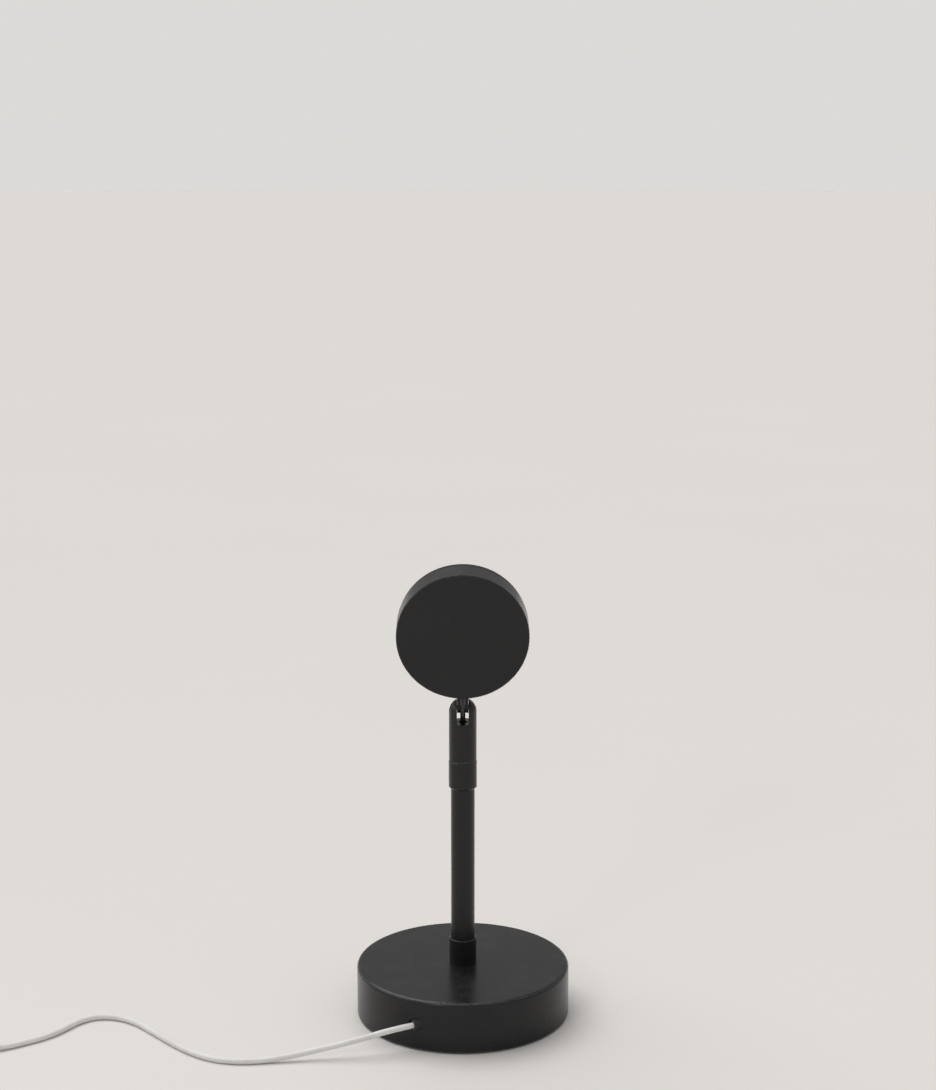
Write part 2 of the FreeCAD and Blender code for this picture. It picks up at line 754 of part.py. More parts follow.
def rear_shell():
    """The can: a plain back, a wall, and a pad inside where the stem is fixed."""
    edge = "dims.shell_edge"
    can = turned("shell_can", [
        ("0", BACK_FACE), (f"dims.head_radius - {edge}", BACK_FACE),
        ("dims.head_radius", f"{BACK_FACE} + {edge}"), ("dims.head_radius", "dims.head_seam"),
        (SHELL_INSIDE, "dims.head_seam"), (SHELL_INSIDE, BACK_INSIDE), ("0", BACK_INSIDE)])
    pad = block("shell_pad", ("13", f"{SHELL_INSIDE} - dims.stem_pad + 0.3", f"-{BACK_INSIDE} + 0.6"),
                ("-6.5", "dims.stem_pad", BACK_INSIDE))
    rest = block("shell_pad_rest", ("8.4", f"{SHELL_INSIDE} - dims.stem_pad + 0.3", "4"),
                 ("-4.2", "dims.stem_pad", "0"))
    stub = cylinder("shell_stub_hole", "dims.stub_radius + 0.05", "12", ("0", "25", "0"), TURN_TO_Y)
    lead = cylinder("shell_lead_hole", GROMMET_REACH, "12", ("0", "25", "-dims.lead_offset"), TURN_TO_Y)
    screws = [cylinder(f"shell_screw_hole{i}", "dims.led_screw_radius", "1.2",
                       (f"{side} * dims.led_screw_at", "0", f"{BACK_INSIDE} - 1.2"))
              for i, side in enumerate((-1, 1))]
    keep(on_head(cut("rear_shell_solid", fuse("shell_body", can, pad, rest), stub, lead, *screws)),
         "rear_shell")


def front_bezel():
    """The ring that closes the drum: two thin walls, a front lip, and a notch over the stem nut."""
    spigot_end = "dims.head_seam - dims.spigot_depth"
    inside = "dims.lens_radius + 0.1"
    wall = "dims.bezel_wall"
    lip_back = "dims.head_front - dims.lip_thick"
    turned_ring = turned("bezel_turned", [
        (inside, spigot_end), (f"{inside} + {wall}", spigot_end),
        (f"{inside} + {wall}", f"{lip_back} - 0.4"), (f"{SHELL_INSIDE} - {wall}", f"{lip_back} - 0.4"),
        (f"{SHELL_INSIDE} - {wall}", spigot_end), (SHELL_INSIDE, spigot_end),
        (SHELL_INSIDE, "dims.head_seam"), ("dims.head_radius - 0.15", "dims.head_seam"),
        ("dims.head_radius", "dims.head_seam + 0.15"),
        ("dims.front_radius", "dims.head_front - 0.5"), ("dims.front_radius - 0.5", "dims.head_front"),
        ("dims.lip_radius + 2.2", "dims.head_front"), ("dims.lip_radius", lip_back + " + 0.5"),
        ("dims.lip_radius", lip_back), (inside, lip_back)])
    notch = block("bezel_notch", ("9.2", "7", "dims.spigot_depth + 1"),
                  ("-4.6", f"{inside} + {wall} - 0.5", f"{spigot_end} - 1"))
    keep(on_head(cut("bezel_solid", turned_ring, notch)), "front_bezel")


def optics():
    """The lens with its gasket and retainer, and the colour filter in its holder."""
    lip_back = "dims.head_front - dims.lip_thick"
    flange_top = "(dims.lens_flat + dims.lens_flange)"
    ball = doc.addObject("Part::Sphere", "lens_ball")
    bind(ball, {"Radius": "dims.lens_curve", "Placement.Base.z": "dims.lens_peak - dims.lens_curve"})
    above = cylinder("lens_dome_room", "dims.lens_radius", "20", ("0", "0", f"{flange_top} - 0.5"))
    dome = doc.addObject("Part::Common", "lens_dome")
    dome.Base, dome.Tool = ball, above
    flange = cylinder("lens_rim", "dims.lens_radius", "dims.lens_flange", ("0", "0", "dims.lens_flat"))
    keep(on_head(fuse("lens_solid", dome, flange)), "lens")
    keep(on_head(ring("gasket_ring", "dims.lens_radius", "dims.gasket_radius", flange_top, lip_back)),
         "lens_gasket")
    keep(on_head(ring("retainer_ring", "dims.lens_radius + 0.1", "dims.retainer_radius",
                      "dims.lens_flat - dims.retainer_thick", "dims.lens_flat")), "lens_retainer")
    seat = f"{HOLDER_TOP} - dims.filter_thick"
    holder = turned("holder_turned", [
        ("dims.holder_mouth", BOARD_TOP), ("dims.holder_radius", BOARD_TOP),
        ("dims.holder_radius", f"{BOARD_TOP} + dims.holder_flange"),
        ("dims.holder_wall", f"{BOARD_TOP} + dims.holder_flange"), ("dims.holder_wall", HOLDER_TOP),
        ("dims.filter_radius + 0.05", HOLDER_TOP), ("dims.filter_radius + 0.05", seat),
        ("dims.filter_radius - 0.8", seat)])
    holes = screw_holes("holder", BOARD_TOP)
    keep(on_head(cut("holder_solid", holder, *holes)), "filter_holder")
    keep(on_head(disc("filter_disc", "dims.filter_radius", seat, HOLDER_TOP)), "colour_filter")


def screw_holes(owner, low):
    """The pair of holes for the screws that hold the light source down."""
    return [cylinder(f"{owner}_screw_hole{i}", "dims.led_screw_radius", "5",
                     (f"{side} * dims.led_screw_at", "0", f"{low} - 1"))
            for i, side in enumerate((-1, 1))]


def light_source():
    """The chip on its board and heat spreader, two screws and the lead's connector."""
    spreader = disc("spreader_disc", "dims.spreader_radius", BACK_INSIDE, SPREADER_TOP)
    keep(on_head(cut("spreader_solid", spreader, *screw_holes("spreader", BACK_INSIDE))),
         "heat_spreader")
    board = disc("board_disc", "dims.board_radius", SPREADER_TOP, BOARD_TOP)
    keep(on_head(cut("board_solid", board, *screw_holes("board", SPREADER_TOP))), "led_board")
    side = "dims.chip_side"
    base = block("chip_base", (side, side, "dims.chip_thick / 2"), (f"-{side} / 2", f"-{side} / 2", BOARD_TOP))
    glow = cylinder("chip_glow", f"{side} * 0.42", "dims.chip_thick", ("0", "0", BOARD_TOP))
    keep(on_head(fuse("chip_solid", base, glow)), "led_chip")
    screws = []
    low = f"{BACK_INSIDE} - 1.2"
    flange_top = f"({BOARD_TOP} + dims.holder_flange)"
    for i, way in enumerate((-1, 1)):
        spot = f"{way} * dims.led_screw_at"
        shank = cylinder(f"led_shank{i}", "dims.led_screw_radius", f"{flange_top} - ({low})",
                         (spot, "0", low))
        head = cylinder(f"led_head{i}", "2.2", "1.4", (spot, "0", flange_top))
        cross = block(f"led_slot{i}", ("3", "0.5", "1"), (f"{spot} - 1.5", "-0.25", f"{flange_top} + 0.9"))
        screws.append(cut(f"led_screw{i}", fuse(f"led_screw_body{i}", shank, head), cross))
    keep(on_head(together("led_screw_pair", *screws)), "led_screws")
    shell = block("connector_block", ("6", "2.8", "2.8"), ("-3", "dims.holder_radius + 0.3", BOARD_TOP))
    keep(on_head(together("connector_body", shell)), "led_connector")


def head_lead():
    """The lead's grommet in the drum's wall and its last stretch to the connector."""
    sleeve = cylinder("head_grommet_sleeve", GROMMET_REACH, "3.5", ("0", "30.4", "-dims.lead_offset"),
                      TURN_TO_Y)
    bore = cylinder("head_grommet_bore", "dims.lead_radius + 0.05", "6", ("0", "29", "-dims.lead_offset"),
                    TURN_TO_Y)
    keep(on_head(cut("head_grommet_solid", sleeve, bore)), "head_grommet")
    board_top = -cell("head_back") + cell("shell_back") + cell("spreader_thick") + cell("board_thick")
    level = board_top + 1.4
    face = cell("holder_radius") + 0.3 + 2.8
    offset = -cell("lead_offset")
    lead = lay_tube("head_lead_tube", [
        Vector(0, 34.0, offset), Vector(0, 27.6, offset), Vector(0, face + 4.3, level),
        Vector(0, face, level)], cell("lead_radius"))
    keep(on_head(lead), "head_lead")


# Leads inside the base and the pole -----------------------------------------------------------


def inner_leads():
    """The lead from the grommet to the splice, and the thinner one up to the fork."""
    sleeve = along_exit("cord_grommet_sleeve", "dims.grommet_radius - 0.05", cell("grommet_inside"), 0)
    bore = along_exit("cord_grommet_bore", "dims.cord_radius + 0.05", cell("grommet_inside") + 1, 1)
    keep(cut("cord_grommet_solid", sleeve, bore), "cord_grommet")
    band = along_exit("tie_band", "dims.cord_radius + 1.3", cell("grommet_inside") + 2.7,
                      -cell("grommet_inside") - 0.3)
    hole = along_exit("tie_hole", "dims.cord_radius + 0.05", cell("grommet_inside") + 4, 1)
    keep(cut("tie_solid", band, hole), "strain_tie")
    low = 6.6
    bend = EXIT_POINT - EXIT_WAY * 16.0
    splice_start, splice_end = Vector(0, -23.0, low), Vector(0, -12.5, low)
    keep(lay_tube("inner_cord_tube", [
        EXIT_POINT, bend, Vector(-4.5, -40.4, 12.8), Vector(-1.4, -35.2, 9.8),
        Vector(0, -29.4, low), splice_start], cell("cord_radius")), "inner_cord")
    splice = cylinder("splice_tube", "dims.splice_radius", str(splice_end.y - splice_start.y), ("0", "0", "0"),
                      TURN_TO_Y)
    splice.Placement.Base = splice_start
    keep(splice, "splice_sleeve")
    keep(lay_tube("pole_lead_tube", [
        splice_end, Vector(0, -7.5, low), Vector(0, -2.74, low + 2.75), Vector(0, 0, low + 7.5),
        Vector(0, 0, cell("lead_join"))], cell("lead_radius")), "pole_lead")


def joint_lead():
    """The short lead that shows in the slot, behind the tongue."""
    tilt = math.radians(cell("head_tilt"))
    up = Vector(0, -math.sin(tilt), math.cos(tilt))
    back = Vector(0, -math.cos(tilt), -math.sin(tilt))
    pivot = Vector(0, 0, cell("pivot_height"))
    end = pivot + back * cell("lead_offset") + up * (cell("head_reach") - 34.0)
    keep(lay_tube("joint_lead_tube", [
        Vector(0, 0, cell("lead_join")), Vector(0, 0, cell("slot_floor") - 0.9), end - up * 9.3, end],
        cell("lead_radius")), "joint_lead")


# Lead on the table ----------------------------------------------------------------------------

SWITCH_WAY = heading(cell("switch_heading"))
SWITCH_REACH = cell("switch_length") + 2 * cell("snout_length")
SWITCH_EXIT = SWITCH_ENTRY + SWITCH_WAY * SWITCH_REACH


def coil_line(turns):
    """The wound lead's line: it spirals in and out by layers and climbs where it reverses."""
    per_layer = cell("layer_turns")
    layers = int(cell("coil_layers"))
    swing = cell("coil_pitch") * per_layer
    outer = cell("coil_middle") + swing / 2
    layer = min(layers - 1, math.floor(turns / per_layer))
    share = turns / per_layer - layer
    radius = outer - swing * (share if layer % 2 == 0 else 1 - share)
    height = 0.0
    for reversal in range(1, layers):
        climb = (turns - reversal * per_layer) / 0.5 + 0.5
        climb = min(1.0, max(0.0, climb))
        height += cell("coil_pitch") * climb * climb * (3 - 2 * climb)
    angle = math.radians(180.0 - 360.0 * turns)
    return COIL_CENTRE + Vector(radius * math.cos(angle), radius * math.sin(angle), COIL_LOW + height)


COIL_LOW = cell("cord_radius") + cell("tie_thick")


def cord_on_table():
    """The lead from the grommet to the switch, on to the coil, and from the coil to the plug."""
    radius = cell("cord_radius")
    keep(lay_tube("cord_run_tube", [EXIT_POINT, EXIT_POINT + EXIT_WAY * EXIT_RUN] + RUN_ROUTE
                  + [SWITCH_ENTRY - SWITCH_WAY * SWITCH_RUN, SWITCH_ENTRY + SWITCH_WAY * SWITCH_INSIDE],
                  radius), "cord_run")
    edges = wound_edges(coil_line, round(cell("coil_turns") * 4))
    coil_start = edges[0].valueAt(edges[0].FirstParameter)
    start_way = edges[0].tangentAt(edges[0].FirstParameter)
    coil_end = edges[-1].valueAt(edges[-1].LastParameter)
    end_way = edges[-1].tangentAt(edges[-1].LastParameter)
    tube, length, ratio = tube_along(edges, radius)
    print("cord_coil length", round(length, 1), "volume / section x length", round(ratio, 4))
    least_gap(edges, radius)
    keep(shaped("cord_coil_tube", tube), "cord_coil")
    keep(lay_tube("cord_link_tube", [SWITCH_EXIT - SWITCH_WAY * SWITCH_INSIDE,
                                     SWITCH_EXIT + SWITCH_WAY * SWITCH_RUN] + LINK_ROUTE
                  + [coil_start - start_way * COIL_LEAD_IN, coil_start], radius), "cord_link")
    keep(lay_tube("cord_tail_tube", [coil_end, coil_end + end_way * COIL_LEAD_OUT] + TAIL_ROUTE
                  + [PLUG_ENTRY], radius), "cord_tail")


def coil_tie():
    """A flat tie round the coil's bundle, with its twisted ends."""
    thick, width = cell("tie_thick"), cell("tie_width")
    half = cell("coil_pitch") * cell("layer_turns") / 2 + cell("cord_radius") + 0.2
    tall = cell("coil_pitch") * (cell("coil_layers") - 1) + 2 * cell("cord_radius") + 0.3
    outer = Part.makeBox(2 * half + 2 * thick, width, tall + 2 * thick,
                         Vector(-half - thick, -width / 2, 0))
    inner = Part.makeBox(2 * half, width, tall, Vector(-half, -width / 2, thick))
    ends = [Part.makeCylinder(0.9, 7.0, Vector(half + thick - 0.2, side, tall * 0.6), Vector(1, side, 0.4))
            for side in (-0.5, 0.5)]
    band = outer.cut(inner).fuse(ends[0]).fuse(ends[1])
    tie = shaped("coil_tie_band", band)
    tie.Placement = Placement(COIL_CENTRE + heading(20.0) * cell("coil_middle"),
                              Rotation(Vector(0, 0, 1), 20.0))
    keep(tie, "coil_tie")


# Switch ---------------------------------------------------------------------------------------


def on_switch(piece):
    """Lay a switch piece, built along +X round the origin, on the lead's line."""
    middle = SWITCH_ENTRY + SWITCH_WAY * (SWITCH_REACH / 2)
    piece.Placement = Placement(Vector(middle.x, middle.y, 0), Rotation(Vector(0, 0, 1), SWITCH_WAY_ANGLE))
    return piece


SWITCH_WAY_ANGLE = cell("switch_heading")


def housing_half(name, low, high, inner_low, inner_high, edge_level):
    """One half of the switch's case: a rounded tray with half a snout at each end."""
    outer = slab(f"{name}_block", "dims.switch_length", "dims.switch_width", f"{high} - ({low})",
                 "dims.switch_corner")
    doc.recompute()
    edge_height = cell("switch_height") - cell("switch_split") if edge_level else 0.0
    level = edges_where(outer.Shape, lambda edge: abs(edge.BoundBox.ZMin - edge_height) < 0.01
                        and abs(edge.BoundBox.ZMax - edge_height) < 0.01)
    round_edges(outer, outer.Tip, level, "dims.switch_round")
    outer.setExpression("Placement.Base.z", low)
    room = slab(f"{name}_room", "dims.switch_length - 2 * dims.switch_wall",
                "dims.switch_width - 2 * dims.switch_wall", f"{inner_high} - ({inner_low})",
                "dims.switch_corner - dims.switch_wall")
    room.setExpression("Placement.Base.z", inner_low)
    snout = cylinder(f"{name}_snout", "dims.snout_radius", "dims.switch_length + 2 * dims.snout_length",
                     ("-dims.switch_length / 2 - dims.snout_length", "0", str(SWITCH_LINE)), TURN_TO_X)
    bore = cylinder(f"{name}_bore", "dims.cord_radius + 0.05", "80", ("-40", "0", str(SWITCH_LINE)),
                    TURN_TO_X)
    side = block(f"{name}_side", ("80", "30", "20"), ("-40", "-15", low if edge_level else f"{high} - 20"))
    half_snout = doc.addObject("Part::Common", f"{name}_half_snout")
    half_snout.Base, half_snout.Tool = snout, side
    return fuse(f"{name}_walls", outer, half_snout), room, bore


def switch():
    """The two halves of the case, the button in its hole, the spring and the contacts."""
    split = "dims.switch_split"
    wall = "dims.switch_wall"
    body, room, bore = housing_half("tray", "0", split, wall, f"{split} + 1", False)
    keep(on_switch(cut("switch_tray", body, room, bore)), "switch_lower")
    body, room, bore = housing_half("lid", split, "dims.switch_height", f"{split} - 1",
                                    f"dims.switch_height - {wall}", True)
    hole = slab("lid_button_hole", "dims.button_length + 2 * dims.button_gap",
                "dims.button_width + 2 * dims.button_gap", "10", "dims.button_width / 3")
    hole.setExpression("Placement.Base.z", "dims.switch_height - 5")
    keep(on_switch(cut("switch_lid", body, room, bore, hole)), "switch_upper")
    stem_low = "dims.switch_height - 4.6"
    cap = slab("button_cap", "dims.button_length", "dims.button_width", "4.6 + dims.button_proud",
               "dims.button_width / 3")
    doc.recompute()
    top = 4.6 + cell("button_proud")
    level = edges_where(cap.Shape, lambda edge: edge.BoundBox.ZMin > top - 0.01)
    round_edges(cap, cap.Tip, level, "0.8")
    flange = slab("button_flange", "dims.button_length + 3", "dims.button_width + 2.4", "1")
    flange.Placement.Base = Vector(0, 0, 2.15)
    button = fuse("button_body", cap, flange)
    button.setExpression("Placement.Base.z", stem_low)
    keep(on_switch(together("button_group", button)), "switch_button")
    spring_low, spring_turns, spring_radius, wire = 2.4, 3, 2.0, 0.22
    spring_high = cell("switch_height") - 4.6 - wire
    rise = (spring_high - spring_low) / spring_turns

    def spring_line(turns):
        angle = 2 * math.pi * turns
        return Vector(spring_radius * math.cos(angle), spring_radius * math.sin(angle),
                      spring_low + rise * turns)

    tube, _, _ = tube_along(wound_edges(spring_line, 4 * spring_turns), wire)
    keep(on_switch(shaped("spring_coil", tube)), "switch_spring")
    seat = block("contact_seat", ("10", "6", "0.75"), ("-5", "-3", "dims.switch_wall"))
    strips = [block(f"contact_strip{i}", ("9", "4", "0.5"), (f"{x}", "-2", "dims.switch_wall"))
              for i, x in enumerate((-17, 8))]
    keep(on_switch(together("contact_group", seat, *strips)), "switch_contacts")


# Plug -----------------------------------------------------------------------------------------


def on_plug(piece):
    """Lay a plug piece, built along +X from where the lead ends, on its line along +Y."""
    piece.Placement = Placement(PLUG_ENTRY, Rotation(Vector(0, 0, 1), 90))
    return piece


def plug():
    """The moulded grip with its relief, the metal shell, the insulator and four contacts."""
    grip = slab("grip_block", "dims.grip_length", "dims.grip_width", "dims.grip_height", "2.4")
    doc.recompute()
    flat = edges_where(grip.Shape, lambda edge: edge.BoundBox.ZLength < 0.01)
    round_edges(grip, grip.Tip, flat, "1.1")
    place_at(grip, ("dims.relief_length + dims.grip_length / 2", "0", "-dims.grip_height / 2"))
    relief = doc.addObject("Part::Cone", "grip_relief")
    relief.Placement = Placement(Vector(), TURN_TO_X)
    bind(relief, {"Radius1": "dims.cord_radius + 0.5", "Radius2": "dims.relief_radius",
                  "Height": "dims.relief_length + 1"})
    keep(on_plug(fuse("plug_grip_solid", grip, relief)), "plug_grip")
    face = "dims.relief_length + dims.grip_length"
    width, height, wall = "dims.plug_shell_width", "dims.plug_shell_height", "dims.plug_shell_wall"
    tube = block("plug_shell_tube", ("dims.plug_shell_length", width, height),
                 (face, f"-{width} / 2", f"-{height} / 2"))
    room = block("plug_shell_room", ("dims.plug_shell_length", f"{width} - 2 * {wall}", f"{height} - 2 * {wall}"),
                 (f"{face} + 0.4", f"-{width} / 2 + {wall}", f"-{height} / 2 + {wall}"))
    windows = [block(f"plug_window{i}", ("2.5", "2", "6"), (f"{face} + 10", f"{y} - 1", "-3"))
               for i, y in enumerate((-2.9, 2.9))]
    keep(on_plug(cut("plug_shell_solid", tube, room, *windows)), "plug_shell")
    thick = "dims.plug_tongue_thick"
    tongue = block("plug_tongue_block", ("dims.plug_shell_length - 2", "dims.plug_tongue_width", thick),
                   (f"{face} + 0.4", "-dims.plug_tongue_width / 2", f"-{height} / 2 + {wall}"))
    keep(on_plug(together("plug_tongue", tongue)), "plug_insulator")
    strips = [block(f"plug_strip{i}", ("dims.plug_shell_length - 4", "1", "0.15"),
                    (f"{face} + 1", f"{y} - 0.5", f"-{height} / 2 + {wall} + {thick}"))
              for i, y in enumerate((-3.5, -1.0, 1.0, 3.5))]
    keep(on_plug(together("plug_strips", *strips)), "plug_contacts")


# Build, check and write -----------------------------------------------------------------------

base_cover()
base_weight()
base_plate()
base_screws()
foot_pad()
pole_fixing()
pole()
swivel_collar()
swivel_inside()
fork()
pivot_screw()
head_stem()
stem_nut()
rear_shell()
front_bezel()
optics()
light_source()
head_lead()
inner_leads()
joint_lead()
cord_on_table()
coil_tie()
switch()
plug()

doc.recompute()
for item in doc.Objects:
    if {"Invalid", "Error"} & set(item.State):
        raise RuntimeError(f"{item.Name} failed: {item.State}")
for piece in nodes:
    if piece.Shape.isNull() or not piece.Shape.isValid():
        raise RuntimeError(f"{piece.Label} has no valid shape")

os.makedirs("parts", exist_ok=True)
for piece in nodes:
    piece.Shape.exportStep(f"parts/{piece.Label}.step")
    print(f"{piece.Label:18s} solids {len(piece.Shape.Solids)} volume {piece.Shape.Volume:10.1f}")
print(len(nodes), "nodes")
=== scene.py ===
"""A small projection lamp: the finish of its CAD pieces, its lead and its studio."""

import math

import bmesh
import bpy
from mathutils import Matrix, Vector


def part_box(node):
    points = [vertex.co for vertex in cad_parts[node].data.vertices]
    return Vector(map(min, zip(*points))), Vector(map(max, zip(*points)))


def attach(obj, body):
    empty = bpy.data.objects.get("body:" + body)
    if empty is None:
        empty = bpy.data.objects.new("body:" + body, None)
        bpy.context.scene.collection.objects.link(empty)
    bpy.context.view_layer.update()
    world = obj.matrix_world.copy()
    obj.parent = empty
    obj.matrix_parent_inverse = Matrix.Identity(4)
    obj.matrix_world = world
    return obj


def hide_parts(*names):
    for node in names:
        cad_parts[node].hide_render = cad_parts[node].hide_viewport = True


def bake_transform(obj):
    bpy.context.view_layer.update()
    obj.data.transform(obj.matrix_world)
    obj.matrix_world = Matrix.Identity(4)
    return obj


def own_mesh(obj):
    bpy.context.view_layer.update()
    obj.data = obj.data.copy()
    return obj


bl_info = {
    "name": "Sunset Projection Lamp",
    "version": (1, 0, 0),
    "blender": (4, 5, 0),
    "location": "3D View > Sidebar > Lamp",
    "description": "Finishes the projection lamp, lays its lead and sets up its studio",
    "category": "Object",
}

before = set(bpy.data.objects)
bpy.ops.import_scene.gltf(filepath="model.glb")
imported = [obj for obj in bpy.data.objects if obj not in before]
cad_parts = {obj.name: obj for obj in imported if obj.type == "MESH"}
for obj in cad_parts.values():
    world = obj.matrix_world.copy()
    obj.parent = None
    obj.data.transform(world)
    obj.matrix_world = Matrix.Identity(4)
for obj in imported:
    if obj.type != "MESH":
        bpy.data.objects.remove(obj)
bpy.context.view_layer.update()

MM = 0.001
QUARTER_TURN = math.pi / 2
HALF_TURN = math.pi
FULL_TURN = 2 * math.pi

# Places in the lamp's own frame, in metres. The beam leaves along +Y.
PIVOT = Vector((0.0, 0.0, 0.1635))
HEAD_TILT = math.radians(9.5)
HEAD_REACH = 0.0419
BEAM = Vector((0.0, math.cos(HEAD_TILT), math.sin(HEAD_TILT)))
STEM = Vector((0.0, -math.sin(HEAD_TILT), math.cos(HEAD_TILT)))
HEAD_MIDDLE = PIVOT + STEM * HEAD_REACH
ORIGIN = Vector((0.0, 0.0, 0.0))
UPRIGHT = Vector((0.0, 0.0, 1.0))
SIDEWAYS = Vector((1.0, 0.0, 0.0))
FORWARD = Vector((0.0, 1.0, 0.0))

# Edges where the coat is rubbed and a lighter sheen is painted, in metres: a middle, an axis, and
# the edge's radius and height.
BASE_EDGES = ((ORIGIN, UPRIGHT, 0.0544, 0.0260), (ORIGIN, UPRIGHT, 0.055, 0.001))
COLLAR_EDGES = ((ORIGIN, UPRIGHT, 0.007, 0.0400), (ORIGIN, UPRIGHT, 0.0072, 0.1215),
                (ORIGIN, UPRIGHT, 0.0072, 0.1353))
FORK_EDGES = ((PIVOT, SIDEWAYS, 0.0019, -0.0056), (ORIGIN, UPRIGHT, 0.00705, 0.1358))
DRUM_EDGES = ((HEAD_MIDDLE, BEAM, 0.0333, -0.0089), (HEAD_MIDDLE, BEAM, 0.0333, 0.0044))
BEZEL_EDGES = ((HEAD_MIDDLE, BEAM, 0.0328, 0.0087),)
WEAR_AND_SHEEN_REACH = 0.0011

# The lens, in millimetres: heights are along the beam from the head's middle.
LENS_CURVE = 33.9
LENS_PEAK = 15.4
LENS_BACK = 4.6
LENS_FRONT = 6.6
LENS_RADIUS = 25.9
LENS_CHAMFER = 0.25
LENS_FLAT = 12.0
DOME_RADIUS = 22.6
FLANGE_INNER = 23.1
DOME_STEPS = 40
TURN_STEPS = 144
SHARP_ANGLE = math.radians(28.0)

# Rings round the beam's line where the optics change colour, in metres: from and to.
FILTER_FADE = (0.003, 0.009)
BOARD_RING_INNER = (0.0158, 0.0160)
BOARD_RING_OUTER = (0.0166, 0.0168)
GEL_DAM = (0.0032, 0.0034)

# The black lead in the fork's slot, in metres: it comes up the pole's middle, bends, runs along
# the stem behind it and enters the head at a distance below the head's middle.
SLOT_LEAD_RADIUS = 0.0013
SLOT_LEAD_LOW = 0.1493
SLOT_LEAD_BEND = 0.1549
SLOT_LEAD_BEHIND = 0.0053
SLOT_LEAD_RUN = 0.0093
HEAD_ENTRY = 0.034
SLOT_LEAD_STEPS = 24

# The white lead's route, in millimetres: the same points as the solid's.
EXIT_POINT = Vector((-24.8, -50.1, 13.5))
EXIT_HEADING = 200.0
EXIT_DROP = 4.0
EXIT_RUN = 13.0
RUN_ROUTE = (
    (-47.8, -56.5, 9.9), (-61.2, -58.8, 7.1), (-75.6, -60.4, 4.3), (-87.2, -62.6, 2.5),
    (-98.3, -64.4, 1.5), (-109.7, -65.7, 1.5), (-122.3, -63.3, 1.5), (-134.3, -55.9, 1.5),
    (-147.3, -43.0, 1.5), (-157.7, -30.7, 1.5), (-169.7, -17.9, 1.5), (-180.7, -12.7, 1.5),
    (-189.6, -12.6, 1.5), (-197.2, -17.7, 1.5), (-203.3, -27.3, 1.5), (-208.3, -34.5, 1.5),
    (-218.0, -42.2, 1.5), (-230.3, -49.7, 1.5),
)
SWITCH_ENTRY = Vector((-250.6, -58.3, 4.5))
SWITCH_HEADING = 206.6
SWITCH_REACH = 52.0
SWITCH_RUN = 4.5
SWITCH_INSIDE = 6.5
LINK_ROUTE = (
    (-317.6, -88.6, 1.9), (-330.6, -85.6, 1.9), (-340.6, -76.0, 1.9), (-344.2, -62.5, 1.9),
)
COIL_CENTRE = Vector((-322.0, -45.0, 0.0))
COIL_MIDDLE = 17.5
COIL_PITCH = 3.45
COIL_LAYERS = 4
LAYER_TURNS = 2.25
COIL_TURNS = 9.25
COIL_START = 180.0
COIL_CLIMB = 0.5
COIL_LOW = 1.9
COIL_LEAD_IN = 9.0
COIL_LEAD_OUT = 12.5
COIL_STEPS = 20
TAIL_ROUTE = ((-298.6, -20.4, 9.6), (-290.0, -10.6, 6.4), (-287.0, 1.5, 4.0))
PLUG_ENTRY = Vector((-287.0, 12.5, 4.0))
CORD_ROUNDNESS = 5

# The twist tie round the coil, in millimetres: across is along the lead, up is above the table.
TIE_HEADING = 20.0
TIE_HALF = 5.6
TIE_TOP = 14.0
TIE_LOW = 0.4
TIE_CORNER = 2.0
TIE_CORNER_STEPS = 6
TIE_SECTION = (
    (-2.0, 0.0), (-2.0, 0.16), (-0.5, 0.18), (-0.25, 0.34), (0.0, 0.4), (0.25, 0.34),
    (0.5, 0.18), (2.0, 0.16), (2.0, 0.0),
)
TWIST_START = Vector((5.8, 0.0, 8.3))
TWIST_SLOPE = 0.4
TWIST_LENGTH = 5.6
TWIST_TURNS = 2.2
TWIST_SHARE = 0.7
TWIST_APART = 0.42
SPLAY = 9.0
SPLAY_POWER = 1.5
STRAND_THICK = 0.30
STRAND_WIDE = 0.62
STRAND_STEPS = 40
STRAND_FACETS = 10

# The press spring in the switch, in metres.
SPRING_TURNS = 3
SPRING_STEPS = 16
SPRING_RADIUS = 0.002
SPRING_WIRE = 0.00022
SPRING_SMOOTHNESS = 3

# What lies on the finishes: its colours, and how much rougher or smoother it makes the coat.
DUST_ON_COAT = (0.16, 0.15, 0.14)
DUST_ON_MOULDING = (0.3, 0.28, 0.25)
# The colour at rubbed edges: rubbed paint with a painted lighter sheen.
RUBBED_COAT_AND_SHEEN = (0.075, 0.075, 0.078)
SMUDGE_DULLS = 0.06
DUST_DULLS = 0.25
RUB_POLISHES = 0.06

# How fine the grain or the marks of each finish are.
COAT_GRAIN = 1100.0
MOULDING_GRAIN = 1300.0
JACKET_GRAIN = 1500.0
METAL_MARKS = 1600.0

# Where the white mouldings part, in metres above the table, and the groove's half width: from
# and to.
SWITCH_PARTING = 0.005
PLUG_PARTING = 0.004
PARTING_GROOVE = (0.00006, 0.00016)

# The studio: sizes and places in metres, colours, and how bright glossy surfaces see each side.
TABLE_RADIUS = 30.0
TABLE_EDGES = 128
KEY_SIZE = math.radians(55.0)
KEY_DIRECTION = Vector((0.30, -0.35, -1.0))
KEY_COLOUR = (1.0, 0.985, 0.965)
SKY_COLOUR = (1.0, 0.985, 0.97)
SEEN_BEHIND = 0.55
SEEN_AHEAD = 0.40
SEEN_HIGH_LEFT = 0.8
FILL_PLACE = Vector((-0.55, -0.95, 0.75))
FILL_SIZE = 0.22
FILL_AIM = Vector((0.0, 0.0, 0.12))
SENSOR_MM = 36.0
NEAREST = 0.01


# Settings -------------------------------------------------------------------------------------


